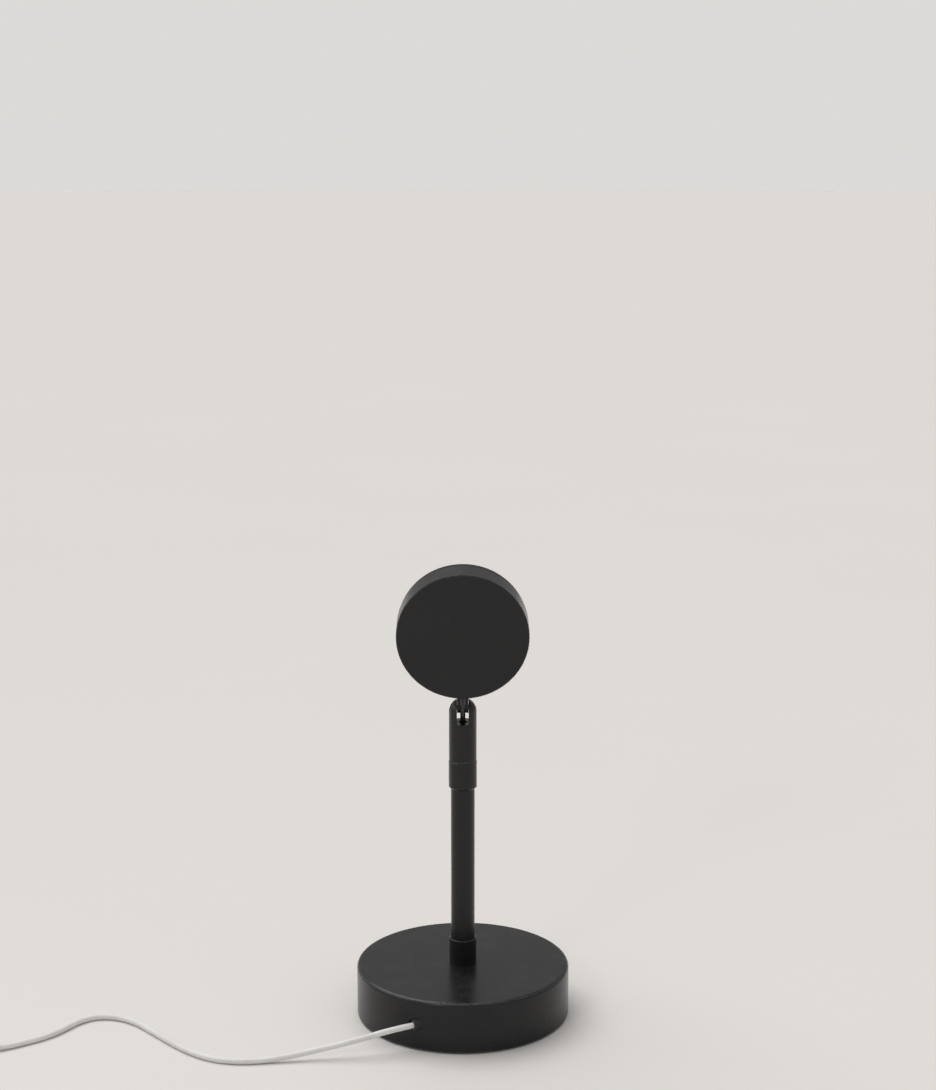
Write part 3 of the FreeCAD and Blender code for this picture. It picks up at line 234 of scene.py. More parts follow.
class LampFinish(bpy.types.PropertyGroup):
    """Colours and gloss of the lamp's surfaces."""

    coat: bpy.props.FloatVectorProperty(
        name="Coat", description="Colour of the satin coat on the metal", subtype="COLOR",
        size=3, min=0.0, max=1.0, default=(0.0065, 0.0065, 0.007))
    coat_roughness: bpy.props.FloatProperty(
        name="Coat Roughness", description="Middle roughness of the satin coat", subtype="FACTOR",
        min=0.05, max=1.0, default=0.27)
    vinyl: bpy.props.FloatVectorProperty(
        name="Lead", description="Colour of the white lead's jacket", subtype="COLOR",
        size=3, min=0.0, max=1.0, default=(0.75, 0.745, 0.735))
    moulding: bpy.props.FloatVectorProperty(
        name="Moulding", description="Colour of the white switch and plug", subtype="COLOR",
        size=3, min=0.0, max=1.0, default=(0.77, 0.765, 0.75))
    filter_rim: bpy.props.FloatVectorProperty(
        name="Filter Rim", description="Colour of the filter at its edge", subtype="COLOR",
        size=3, min=0.0, max=1.0, default=(0.90, 0.10, 0.015))
    filter_middle: bpy.props.FloatVectorProperty(
        name="Filter Middle", description="Colour of the filter at its middle", subtype="COLOR",
        size=3, min=0.0, max=1.0, default=(1.0, 0.52, 0.06))


class LampLead(bpy.types.PropertyGroup):
    """Size of the lead."""

    diameter: bpy.props.FloatProperty(
        name="Diameter", description="Outside diameter of the white lead", unit="LENGTH",
        min=0.002, max=0.006, default=0.003)
    smoothness: bpy.props.IntProperty(
        name="Smoothness", description="Steps along the lead between two route points",
        min=4, max=24, default=10)


class LampStudio(bpy.types.PropertyGroup):
    """Camera and light."""

    distance: bpy.props.FloatProperty(
        name="Camera Distance", description="From the lamp's axis back to the camera",
        unit="LENGTH", min=0.3, max=3.0, default=0.9836)
    height: bpy.props.FloatProperty(
        name="Camera Height", description="Camera above the table", unit="LENGTH",
        min=0.05, max=2.0, default=0.4358)
    pitch: bpy.props.FloatProperty(
        name="Camera Pitch", description="How far the camera looks down", unit="ROTATION",
        min=0.0, max=1.5, default=math.radians(10.84))
    yaw: bpy.props.FloatProperty(
        name="Camera Yaw", description="How far the camera looks to the right",
        unit="ROTATION", min=-0.5, max=0.5, default=math.radians(0.155))
    lens: bpy.props.FloatProperty(
        name="Lens", description="Focal length in millimetres on a 36 mm side",
        min=20.0, max=200.0, default=66.055046)
    floor: bpy.props.FloatVectorProperty(
        name="Floor", description="Colour of the table", subtype="COLOR",
        size=3, min=0.0, max=1.0, default=(0.72, 0.70, 0.685))
    key: bpy.props.FloatProperty(
        name="Key Light", description="Strength of the soft light overhead",
        min=0.0, max=10.0, default=1.8)
    fill: bpy.props.FloatProperty(
        name="Fill Light", description="Power of the panel beside the camera", unit="POWER",
        min=0.0, max=200.0, default=1.2)
    surround: bpy.props.FloatProperty(
        name="Surround", description="Strength of the even light from all round",
        min=0.0, max=2.0, default=0.5)
    backdrop: bpy.props.FloatProperty(
        name="Backdrop", description="Brightness of the background beyond the table",
        min=0.0, max=2.0, default=1.0)


# Node tools -----------------------------------------------------------------------------------


def add(tree, kind, settings=None, **inputs):
    """A node with its settings, and its sockets set to values or fed from other sockets."""
    node = tree.nodes.new(kind)
    for name, value in (settings or {}).items():
        setattr(node, name, value)
    for name, value in inputs.items():
        feed(tree, node.inputs[name.replace("_", " ")], value)
    return node


def feed(tree, socket, value):
    """Set a socket, or link it to another one."""
    if isinstance(value, bpy.types.NodeSocket):
        tree.links.new(value, socket)
    elif socket.type == "RGBA" and len(value) == 3:
        socket.default_value = (*value, 1.0)
    else:
        socket.default_value = value


def maths(tree, operation, first, second=None, clamp=False):
    """One Math node's result."""
    node = add(tree, "ShaderNodeMath", {"operation": operation, "use_clamp": clamp})
    feed(tree, node.inputs[0], first)
    if second is not None:
        feed(tree, node.inputs[1], second)
    return node.outputs[0]


def times(tree, first, second):
    """Two values multiplied."""
    return maths(tree, "MULTIPLY", first, second)


def weighed(tree, first, second, share):
    """Two values added, the first by a share and the second by the rest."""
    return maths(tree, "ADD", times(tree, first, share), times(tree, second, 1 - share))


def vector_maths(tree, operation, first, second=None):
    """One Vector Math node's outputs."""
    node = add(tree, "ShaderNodeVectorMath", {"operation": operation})
    feed(tree, node.inputs[0], first)
    if second is not None:
        feed(tree, node.inputs[1], second)
    return node.outputs


def spread(tree, value, low, high, to_low=0.0, to_high=1.0):
    """A value moved from one range to another, and held inside it."""
    node = add(tree, "ShaderNodeMapRange", {"interpolation_type": "SMOOTHSTEP"}, Value=value,
               From_Min=low, From_Max=high, To_Min=to_low, To_Max=to_high)
    return node.outputs["Result"]


def mixed(tree, share, first, second):
    """Two colours mixed by a share."""
    node = add(tree, "ShaderNodeMix", {"data_type": "RGBA"})
    for index, value in ((0, share), (6, first), (7, second)):
        feed(tree, node.inputs[index], value)
    return node.outputs[2]


def noise(tree, place, scale, detail=3.0, rough=0.5):
    """A noise's value at a place."""
    return add(tree, "ShaderNodeTexNoise", Vector=place, Scale=scale, Detail=detail,
               Roughness=rough).outputs["Fac"]


def shade(colour, factor):
    """A colour made lighter or darker."""
    return tuple(part * factor for part in colour)


def own_place(tree):
    """Where the surface is in the piece's own frame."""
    return tree.nodes.new("ShaderNodeTexCoord").outputs["Object"]


def own_direction(tree):
    """The direction a ray takes into the surroundings."""
    return tree.nodes.new("ShaderNodeTexCoord").outputs["Generated"]


def new_group(name, inputs, outputs):
    """An empty node group with its sockets, from (name, kind, default) and (name, kind)."""
    tree = bpy.data.node_groups.new(name, "ShaderNodeTree")
    for label, kind, default in inputs:
        socket = tree.interface.new_socket(label, in_out="INPUT",
                                           socket_type="NodeSocket" + kind)
        socket.default_value = default
    for label, kind in outputs:
        tree.interface.new_socket(label, in_out="OUTPUT", socket_type="NodeSocket" + kind)
    given = tree.nodes.new("NodeGroupInput").outputs
    return tree, given, tree.nodes.new("NodeGroupOutput").inputs


def use_group(tree, name, **inputs):
    """A group's outputs, placed in a material."""
    node = tree.nodes.new("ShaderNodeGroup")
    node.node_tree = bpy.data.node_groups[name]
    for label, value in inputs.items():
        feed(tree, node.inputs[label.replace("_", " ")], value)
    return node.outputs


# Shared surface effects -----------------------------------------------------------------------


def make_fine_grain():
    """Group: the height of a sprayed coat or a moulding's grain, in two sizes."""
    tree, given, result = new_group(
        "Fine Grain", [("Scale", "Float", 900.0)], [("Height", "Float")])
    place = own_place(tree)
    coarse = noise(tree, place, given["Scale"], detail=2.0)
    finer = times(tree, given["Scale"], 2.7)
    fine = noise(tree, place, finer, detail=1.0)
    tree.links.new(weighed(tree, coarse, fine, 0.7), result["Height"])


def make_handling():
    """Group: soft smudges from handling, as a mask."""
    tree, given, result = new_group("Handling", [("Scale", "Float", 40.0)], [("Mask", "Float")])
    place = own_place(tree)
    broad = noise(tree, place, given["Scale"], detail=4.0, rough=0.62)
    streak = noise(tree, place, times(tree, given["Scale"], 5.0))
    tree.links.new(spread(tree, weighed(tree, broad, streak, 0.75), 0.38, 0.64), result["Mask"])


def make_settled_dust():
    """Group: specks and a thin film on what faces up, as a mask."""
    tree, given, result = new_group(
        "Settled Dust", [("Amount", "Float", 0.3)], [("Mask", "Float")])
    coords = tree.nodes.new("ShaderNodeTexCoord").outputs
    axes = add(tree, "ShaderNodeSeparateXYZ", Vector=coords["Normal"])
    up = spread(tree, axes.outputs["Z"], 0.5, 0.95)
    patches = noise(tree, coords["Object"], 60.0, detail=5.0, rough=0.65)
    film = spread(tree, patches, 0.42, 0.72, to_low=0.15, to_high=0.6)
    specks = spread(tree, noise(tree, coords["Object"], 1500.0, detail=1.0), 0.70, 0.80)
    total = maths(tree, "ADD", film, specks)
    tree.links.new(times(tree, times(tree, total, up), given["Amount"]), result["Mask"])


def make_rim_wear_and_sheen():
    """Group: rubbed paint with a painted lighter sheen along a round edge, found from the edge's
    own radius and height.
    """
    tree, given, result = new_group(
        "Rim Wear and Sheen",
        [("Middle", "Vector", (0.0, 0.0, 0.0)), ("Axis", "Vector", (0.0, 0.0, 1.0)),
         ("Edge Radius", "Float", 0.05), ("Edge Height", "Float", 0.0), ("Reach", "Float", 0.001)],
        [("Mask", "Float")])
    place = own_place(tree)
    offset = vector_maths(tree, "SUBTRACT", place, given["Middle"])["Vector"]
    height = vector_maths(tree, "DOT_PRODUCT", offset, given["Axis"])["Value"]
    length = vector_maths(tree, "LENGTH", offset)["Value"]
    across = maths(tree, "SUBTRACT", times(tree, length, length), times(tree, height, height))
    radius = maths(tree, "SQRT", maths(tree, "MAXIMUM", across, 0.0))
    side = maths(tree, "SUBTRACT", radius, given["Edge Radius"])
    rise = maths(tree, "SUBTRACT", height, given["Edge Height"])
    both = maths(tree, "ADD", times(tree, side, side), times(tree, rise, rise))
    distance = maths(tree, "SQRT", both)
    share = maths(tree, "DIVIDE", distance, given["Reach"])
    near = maths(tree, "SUBTRACT", 1.0, share, clamp=True)
    broken = noise(tree, place, 420.0, detail=5.0, rough=0.65)
    tree.links.new(spread(tree, times(tree, near, broken), 0.22, 0.55), result["Mask"])


def make_parting_line_and_shade():
    """Group: the fine groove where two moulded halves meet at a height, as a mask for its dent and
    its painted shade.
    """
    tree, given, result = new_group("Parting Line and Shade", [("Level", "Float", 0.0)], [("Mask", "Float")])
    height = add(tree, "ShaderNodeSeparateXYZ", Vector=own_place(tree)).outputs["Z"]
    away = maths(tree, "ABSOLUTE", maths(tree, "SUBTRACT", height, given["Level"]))
    groove = spread(tree, away, *PARTING_GROOVE, to_low=1.0, to_high=0.0)
    tree.links.new(groove, result["Mask"])


def make_groups():
    """Make each shared effect once."""
    make_fine_grain()
    make_parting_line_and_shade()
    make_handling()
    make_settled_dust()
    make_rim_wear_and_sheen()


# Materials ------------------------------------------------------------------------------------


def new_material(name, **values):
    """A material's tree with its Principled shader set."""
    material = bpy.data.materials.new(name)
    material.use_nodes = True
    tree = material.node_tree
    shader = tree.nodes["Principled BSDF"]
    for label, value in values.items():
        feed(tree, shader.inputs[label.replace("_", " ")], value)
    return material, tree, shader.inputs


def bump(tree, shader, height, strength, distance):
    """Feed the shader's normal from a height."""
    node = add(tree, "ShaderNodeBump", Strength=strength, Distance=distance, Height=height)
    tree.links.new(node.outputs["Normal"], shader["Normal"])


def roughen(tree, shader, mask, least, most, low=0.0, high=1.0):
    """Feed the shader's roughness: the least where the mask is low, the most where it is high."""
    feed(tree, shader["Roughness"], spread(tree, mask, low, high, least, most))


def satin_coat(name, edges=(), dust=0.1, dulled=0.0, sheen=0.34, lift=1.0):
    """Black sprayed coat on metal, rubbed along edges given as (middle, axis, radius, height),
    with a lighter sheen painted there too.
    """
    finish = bpy.context.scene.lamp_finish
    coat = shade(finish.coat, lift)
    middle = finish.coat_roughness + dulled
    material, tree, shader = new_material(name, IOR=1.5, Specular_IOR_Level=sheen)
    smudge = use_group(tree, "Handling", Scale=38.0)["Mask"]
    film = use_group(tree, "Settled Dust", Amount=dust)["Mask"]
    colour = mixed(tree, smudge, coat, shade(coat, 1.3))
    colour = mixed(tree, film, colour, DUST_ON_COAT)
    rough = maths(tree, "ADD", times(tree, smudge, SMUDGE_DULLS), middle - SMUDGE_DULLS / 2)
    rough = maths(tree, "ADD", rough, times(tree, film, DUST_DULLS))
    worn_and_sheen = None
    for centre, axis, radius, height in edges:
        mask = use_group(tree, "Rim Wear and Sheen", Middle=centre, Axis=axis, Edge_Radius=radius,
                         Edge_Height=height, Reach=WEAR_AND_SHEEN_REACH)["Mask"]
        worn_and_sheen = mask if worn_and_sheen is None else maths(tree, "MAXIMUM", worn_and_sheen, mask)
    if worn_and_sheen is not None:
        # Rubbed paint and a painted lighter sheen along the edges.
        colour = mixed(tree, times(tree, worn_and_sheen, 0.5), colour, RUBBED_COAT_AND_SHEEN)
        rough = maths(tree, "SUBTRACT", rough, times(tree, worn_and_sheen, RUB_POLISHES))
    feed(tree, shader["Base Color"], colour)
    feed(tree, shader["Roughness"], rough)
    grain = use_group(tree, "Fine Grain", Scale=COAT_GRAIN)["Height"]
    bump(tree, shader, grain, strength=0.25, distance=0.0001)
    return material


def bare_metal(name, colour, rough, scale=METAL_MARKS, stretch=(1.0, 1.0, 1.0)):
    """Plated or plain metal with fine marks."""
    material, tree, shader = new_material(name, Metallic=1.0)
    smudge = use_group(tree, "Handling", Scale=90.0)["Mask"]
    mapping = add(tree, "ShaderNodeMapping", Vector=own_place(tree), Scale=stretch)
    marks = noise(tree, mapping.outputs["Vector"], scale)
    tone = weighed(tree, marks, smudge, 0.5)
    feed(tree, shader["Base Color"], mixed(tree, tone, shade(colour, 0.86), colour))
    roughen(tree, shader, tone, rough - 0.04, rough + 0.08, low=0.2, high=0.8)
    bump(tree, shader, marks, strength=0.2, distance=0.00008)
    return material


def moulded(name, colour, rough, strength=0.25, seam=None, **values):
    """Moulded plastic or rubber: grain, smudges, a little dust and perhaps a parting line with
    painted shade in its groove.
    """
    material, tree, shader = new_material(name, **values)
    smudge = use_group(tree, "Handling", Scale=55.0)["Mask"]
    film = use_group(tree, "Settled Dust", Amount=0.12)["Mask"]
    base = mixed(tree, smudge, tuple(colour), shade(colour, 0.93))
    base = mixed(tree, film, base, DUST_ON_MOULDING)
    height = use_group(tree, "Fine Grain", Scale=MOULDING_GRAIN)["Height"]
    if seam is not None:
        groove_and_shade = use_group(tree, "Parting Line and Shade", Level=seam)["Mask"]
        # Painted shade darkens the parting groove; the bump below dents it.
        base = mixed(tree, times(tree, groove_and_shade, 0.7), base, shade(colour, 0.3))
        height = maths(tree, "SUBTRACT", height, times(tree, groove_and_shade, 2.0))
    feed(tree, shader["Base Color"], base)
    roughen(tree, shader, smudge, rough - 0.05, rough + 0.07)
    bump(tree, shader, height, strength, distance=0.0001)
    return material


def cellular(name, colour):
    """Foam rubber with open cells."""
    material, tree, shader = new_material(name, Roughness=0.85)
    cells = add(tree, "ShaderNodeTexVoronoi", Vector=own_place(tree), Scale=1500.0)
    smudge = use_group(tree, "Handling", Scale=30.0)["Mask"]
    tone = times(tree, cells.outputs["Distance"], smudge)
    feed(tree, shader["Base Color"], mixed(tree, tone, colour, shade(colour, 2.2)))
    bump(tree, shader, cells.outputs["Distance"], strength=0.7, distance=0.0003)
    return material


def lead_jacket(name, colour, rough=0.42):
    """Soft vinyl jacket: faint waves along it, handling marks and a soft glow through it."""
    material, tree, shader = new_material(name, Subsurface_Weight=0.08, Subsurface_Scale=0.0008,
                                          Subsurface_Radius=(1.0, 0.8, 0.7), IOR=1.48)
    smudge = use_group(tree, "Handling", Scale=24.0)["Mask"]
    wave = noise(tree, own_place(tree), 130.0, detail=2.0)
    handled = tuple(part * dim for part, dim in zip(colour, (0.90, 0.885, 0.86)))
    feed(tree, shader["Base Color"], mixed(tree, smudge, tuple(colour), handled))
    roughen(tree, shader, smudge, rough - 0.06, rough + 0.1)
    grain = use_group(tree, "Fine Grain", Scale=JACKET_GRAIN)["Height"]
    bump(tree, shader, weighed(tree, wave, grain, 0.6), strength=0.22, distance=0.0003)
    return material


def cast_surface(name, colour):
    """Raw cast iron."""
    material, tree, shader = new_material(name, Metallic=0.7)
    pits = noise(tree, own_place(tree), 700.0, detail=6.0, rough=0.7)
    feed(tree, shader["Base Color"], mixed(tree, pits, colour, shade(colour, 0.4)))
    roughen(tree, shader, pits, 0.55, 0.8, low=0.2, high=0.8)
    bump(tree, shader, pits, strength=0.6, distance=0.0005)
    return material


def from_beam(tree):
    """Distance from the beam's line, in metres, on a head piece."""
    offset = vector_maths(tree, "SUBTRACT", own_place(tree), HEAD_MIDDLE)["Vector"]
    cross = vector_maths(tree, "CROSS_PRODUCT", offset, BEAM)["Vector"]
    return vector_maths(tree, "LENGTH", cross)["Value"]


def pressed_glass(name):
    """Clear pressed glass with a trace of handling."""
    material, tree, shader = new_material(name, Base_Color=(0.96, 0.98, 1.0), IOR=1.49,
                                          Transmission_Weight=1.0)
    smudge = use_group(tree, "Handling", Scale=45.0)["Mask"]
    roughen(tree, shader, smudge, 0.005, 0.035, low=0.3)
    return material


def colour_filter(name):
    """The filter that colours the beam: amber in the middle, red at its edge."""
    finish = bpy.context.scene.lamp_finish
    material, tree, shader = new_material(name, IOR=1.5, Transmission_Weight=1.0,
                                          Thin_Film_Thickness=420.0, Thin_Film_IOR=1.38)
    share = spread(tree, from_beam(tree), *FILTER_FADE)
    tint = mixed(tree, share, tuple(finish.filter_middle), tuple(finish.filter_rim))
    feed(tree, shader["Base Color"], tint)
    smudge = use_group(tree, "Handling", Scale=80.0)["Mask"]
    roughen(tree, shader, smudge, 0.01, 0.05, low=0.3)
    return material


def circuit_board(name):
    """White solder mask with a bare ring round the light source."""
    material, tree, shader = new_material(name)
    reach = from_beam(tree)
    ring = maths(tree, "SUBTRACT", spread(tree, reach, *BOARD_RING_INNER),
                 spread(tree, reach, *BOARD_RING_OUTER))
    smudge = use_group(tree, "Handling", Scale=70.0)["Mask"]
    mask = mixed(tree, smudge, (0.72, 0.72, 0.70), (0.62, 0.62, 0.59))
    feed(tree, shader["Base Color"], mixed(tree, ring, mask, (0.66, 0.60, 0.50)))
    feed(tree, shader["Metallic"], ring)
    roughen(tree, shader, smudge, 0.28, 0.4)
    bump(tree, shader, ring, strength=0.4, distance=0.00005)
    return material


def phosphor(name):
    """Yellow phosphor gel with a white dam round it."""
    material, tree, shader = new_material(name, IOR=1.45)
    dam = spread(tree, from_beam(tree), *GEL_DAM)
    dots = add(tree, "ShaderNodeTexVoronoi", Vector=own_place(tree), Scale=1300.0)
    gel = mixed(tree, dots.outputs["Distance"], (0.86, 0.62, 0.03), (0.72, 0.45, 0.01))
    feed(tree, shader["Base Color"], mixed(tree, dam, gel, (0.78, 0.78, 0.76)))
    roughen(tree, shader, dam, 0.2, 0.5)
    bump(tree, shader, dots.outputs["Distance"], strength=0.3, distance=0.0002)
    return material


def cad_pieces(*names):
    """CAD pieces by name."""
    return [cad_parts[name] for name in names]


def finish_nodes(material, *names):
    """Give CAD pieces a material."""
    for piece in cad_pieces(*names):
        piece.data.materials.clear()
        piece.data.materials.append(material)


# Shapes ---------------------------------------------------------------------------------------


def heading(degrees, pitch=0.0):
    """A unit vector by compass angle from +X and a pitch above the table."""
    turn, rise = math.radians(degrees), math.radians(pitch)
    level = math.cos(rise)
    return Vector((math.cos(turn) * level, math.sin(turn) * level, math.sin(rise)))


def around(radius, angle, height):
    """A point by its distance from +Z, its angle and its height."""
    return Vector((radius * math.cos(angle), radius * math.sin(angle), height))


def spline_object(name, points, radius, steps):
    """A round cord on one smooth spline whose control points are given in metres."""
    data = bpy.data.curves.new(name, "CURVE")
    data.dimensions = "3D"
    data.bevel_depth = radius
    data.bevel_resolution = CORD_ROUNDNESS
    data.resolution_u = steps
    data.use_fill_caps = True
    spline = data.splines.new("NURBS")
    spline.points.add(len(points) - 1)
    for point, place in zip(spline.points, points):
        point.co = (*place, 1.0)
    spline.order_u = 3
    spline.use_endpoint_u = True
    piece = bpy.data.objects.new(name, data)
    bpy.context.scene.collection.objects.link(piece)
    return piece


def as_mesh(piece):
    """The same piece as a mesh object."""
    name = piece.name
    evaluated = piece.evaluated_get(bpy.context.evaluated_depsgraph_get())
    mesh = bpy.data.meshes.new_from_object(evaluated)
    bpy.data.objects.remove(piece)
    solid = bpy.data.objects.new(name, mesh)
    bpy.context.scene.collection.objects.link(solid)
    return solid


def smooth(piece):
    """Shade a mesh piece smooth."""
    for face in piece.data.polygons:
        face.use_smooth = True
    return piece


def mesh_object(name, bm):
    """A mesh object from a bmesh."""
    bmesh.ops.recalc_face_normals(bm, faces=bm.faces)
    mesh = bpy.data.meshes.new(name)
    bm.to_mesh(mesh)
    bm.free()
    piece = bpy.data.objects.new(name, mesh)
    bpy.context.scene.collection.objects.link(piece)
    return piece


def turned(name, profile):
    """A solid turned about +Z from (radius, height) points that start and end on the axis."""
    bm = bmesh.new()
    angles = [FULL_TURN * i / TURN_STEPS for i in range(TURN_STEPS)]
    rings = [[bm.verts.new(around(radius, angle, height)) for angle in angles]
             for radius, height in profile[1:-1]]
    join_rings(bm, rings, closed=False)
    for ring, height in ((rings[0], profile[0][1]), (rings[-1], profile[-1][1])):
        tip = bm.verts.new((0.0, 0.0, height))
        for i in range(TURN_STEPS):
            bm.faces.new((ring[i], ring[(i + 1) % TURN_STEPS], tip))
    piece = smooth(mesh_object(name, bm))
    piece.data.set_sharp_from_angle(angle=SHARP_ANGLE)
    return piece


def join_rings(bm, rings, closed):
    """Skin a row of closed sections; the row itself may be closed too."""
    count = len(rings)
    for i in range(count if closed else count - 1):
        first, second = rings[i], rings[(i + 1) % count]
        for k in range(len(first)):
            after = (k + 1) % len(first)
            bm.faces.new((first[k], first[after], second[after], second[k]))


def settle(piece, slot, material, *nodes):
    """Give a piece its material and hide the CAD pieces it stands for; its slot is not used."""
    piece.data.materials.clear()
    piece.data.materials.append(material)
    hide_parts(*nodes)


def coil_point(turns):
    """A point on the wound lead, in millimetres."""
    swing = COIL_PITCH * LAYER_TURNS
    outer = COIL_MIDDLE + swing / 2
    layer = min(COIL_LAYERS - 1, math.floor(turns / LAYER_TURNS))
    share = turns / LAYER_TURNS - layer
    radius = outer - swing * (share if layer % 2 == 0 else 1 - share)
    height = COIL_LOW
    for reversal in range(1, COIL_LAYERS):
        climb = min(1.0, max(0.0, (turns - reversal * LAYER_TURNS) / COIL_CLIMB + 0.5))
        height += COIL_PITCH * climb * climb * (3 - 2 * climb)
    angle = math.radians(COIL_START) - FULL_TURN * turns
    return COIL_CENTRE + around(radius, angle, height)


# Operators ------------------------------------------------------------------------------------


class LAMP_OT_effects(bpy.types.Operator):
    """Make the surface effects that the lamp's materials share"""

    bl_idname = "lamp.effects"
    bl_label = "Surface Effects"

    def execute(self, context):
        make_groups()
        return {"FINISHED"}


class LAMP_OT_base(bpy.types.Operator):
    """Finish the base, its weight, plate and pad, and the lamp's zinc fixings"""

    bl_idname = "lamp.base"
    bl_label = "Base"

    def execute(self, context):
        finish_nodes(satin_coat("Base Coat", BASE_EDGES), "base_cover")
        finish_nodes(cast_surface("Cast Iron", (0.10, 0.094, 0.088)), "base_weight")
        finish_nodes(bare_metal("Zinc Plate", (0.55, 0.56, 0.57), 0.38),
                     "base_plate", "pole_washer", "spring_washer")
        finish_nodes(bare_metal("Zinc Fixings", (0.60, 0.60, 0.60), 0.32, scale=2500.0),
                     "base_screws", "pole_nipple", "pole_nut", "swivel_bolt", "stem_nut",
                     "led_screws")
        finish_nodes(cellular("Foam Pad", (0.018, 0.018, 0.019)), "foot_pad")
        return {"FINISHED"}


class LAMP_OT_pole(bpy.types.Operator):
    """Finish the pole, its collars, the friction washer and the nylon pieces"""

    bl_idname = "lamp.pole"
    bl_label = "Pole"

    def execute(self, context):
        finish_nodes(satin_coat("Pole Coat", dust=0.08), "pole")
        finish_nodes(satin_coat("Collar Coat", COLLAR_EDGES, dust=0.08),
                     "foot_collar", "swivel_collar")
        finish_nodes(moulded("Nylon", (0.68, 0.66, 0.60), 0.45, Subsurface_Weight=0.1,
                             Subsurface_Scale=0.001),
                     "swivel_bushing", "strain_tie", "led_connector")
        finish_nodes(moulded("Friction Washer", (0.02, 0.02, 0.02), 0.5), "friction_washer")
        return {"FINISHED"}


class LAMP_OT_fork(bpy.types.Operator):
    """Finish the fork, its cross screw and the stem in its slot"""

    bl_idname = "lamp.fork"
    bl_label = "Fork and Stem"

    def execute(self, context):
        finish_nodes(satin_coat("Fork Coat", FORK_EDGES, dust=0.08), "fork")
        finish_nodes(satin_coat("Stem Coat", dust=0.0), "head_stem")
        finish_nodes(bare_metal("Pivot Steel", (0.50, 0.50, 0.51), 0.26, scale=3000.0),
                     "pivot_screw")
        return {"FINISHED"}


class LAMP_OT_head(bpy.types.Operator):
    """Finish the head's shell and bezel, and the rubber rings of the lamp"""

    bl_idname = "lamp.head"
    bl_label = "Head"

    def execute(self, context):
        finish_nodes(satin_coat("Drum Coat", DRUM_EDGES), "rear_shell")
        finish_nodes(satin_coat("Bezel Coat", BEZEL_EDGES, dulled=0.1, sheen=0.06, lift=1.9),
                     "front_bezel")
        finish_nodes(moulded("Black Rubber", (0.014, 0.014, 0.014), 0.6),
                     "head_grommet", "cord_grommet", "lens_gasket")
        return {"FINISHED"}


class LAMP_OT_optics(bpy.types.Operator):
    """Turn the lens, and finish the colour filter and the light source"""

    bl_idname = "lamp.optics"
    bl_label = "Optics"

    def execute(self, context):
        piece = turned("projection_lens", self.profile())
        aim = BEAM.to_track_quat("Z", "Y").to_matrix().to_4x4()
        piece.data.transform(Matrix.Translation(HEAD_MIDDLE) @ aim @ Matrix.Scale(MM, 4))
        settle(piece, "lens_glass", pressed_glass("Lens Glass"), "lens")
        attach(piece, "head")
        finish_nodes(colour_filter("Colour Filter"), "colour_filter")
        finish_nodes(moulded("Black Moulding", (0.013, 0.013, 0.014), 0.5),
                     "filter_holder", "lens_retainer")
        finish_nodes(bare_metal("Spreader Aluminium", (0.78, 0.78, 0.79), 0.35,
                                stretch=(1.0, 8.0, 1.0)), "heat_spreader")
        finish_nodes(circuit_board("Circuit Board"), "led_board")
        finish_nodes(phosphor("Phosphor"), "led_chip")
        return {"FINISHED"}

    def profile(self):
        """The lens's half section from its flat back over the rim to its peak, in millimetres."""
        corner = LENS_RADIUS - LENS_CHAMFER
        flange = [(0.0, LENS_BACK), (LENS_FLAT, LENS_BACK), (corner, LENS_BACK),
                  (LENS_RADIUS, LENS_BACK + LENS_CHAMFER),
                  (LENS_RADIUS, LENS_FRONT - LENS_CHAMFER),
                  (corner, LENS_FRONT), (FLANGE_INNER, LENS_FRONT)]
        widest = math.asin(DOME_RADIUS / LENS_CURVE)
        angles = [widest * (1 - i / DOME_STEPS) for i in range(DOME_STEPS + 1)]
        middle = LENS_PEAK - LENS_CURVE
        dome = [(LENS_CURVE * math.sin(angle), middle + LENS_CURVE * math.cos(angle))
                for angle in angles]
        return flange + dome


class LAMP_OT_inner_leads(bpy.types.Operator):
    """Finish the leads inside the lamp and bend the one that crosses the tilting joint"""

    bl_idname = "lamp.inner_leads"
    bl_label = "Inner Leads"

    def execute(self, context):
        black = lead_jacket("Black Jacket", (0.016, 0.016, 0.018), 0.24)
        finish_nodes(black, "pole_lead", "head_lead", "splice_sleeve")
        white = lead_jacket("White Inner Jacket", tuple(context.scene.lamp_finish.vinyl))
        finish_nodes(white, "inner_cord")
        end = PIVOT - BEAM * SLOT_LEAD_BEHIND + STEM * (HEAD_REACH - HEAD_ENTRY)
        points = [UPRIGHT * SLOT_LEAD_LOW, UPRIGHT * SLOT_LEAD_BEND,
                  end - STEM * SLOT_LEAD_RUN, end]
        lead = spline_object("lead_in_fork", points, SLOT_LEAD_RADIUS, SLOT_LEAD_STEPS)
        piece = smooth(as_mesh(lead))
        settle(piece, "black_vinyl", black, "joint_lead")
        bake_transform(piece)
        return {"FINISHED"}


class LAMP_OT_supply_lead(bpy.types.Operator):
    """Lay the white lead from the base to the switch"""

    bl_idname = "lamp.supply_lead"
    bl_label = "Lead to the Switch"

    def execute(self, context):
        lead = context.scene.lamp_lead
        way = heading(SWITCH_HEADING)
        first = EXIT_POINT + heading(EXIT_HEADING, -EXIT_DROP) * EXIT_RUN
        route = [EXIT_POINT, first] + [Vector(point) for point in RUN_ROUTE]
        route += [SWITCH_ENTRY - way * SWITCH_RUN, SWITCH_ENTRY + way * SWITCH_INSIDE]
        piece = spline_object("supply_lead", [point * MM for point in route], lead.diameter / 2,
                              lead.smoothness)
        jacket = lead_jacket("White Jacket", tuple(context.scene.lamp_finish.vinyl))
        settle(piece, "white_vinyl", jacket, "cord_run")
        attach(piece, "base")
        return {"FINISHED"}


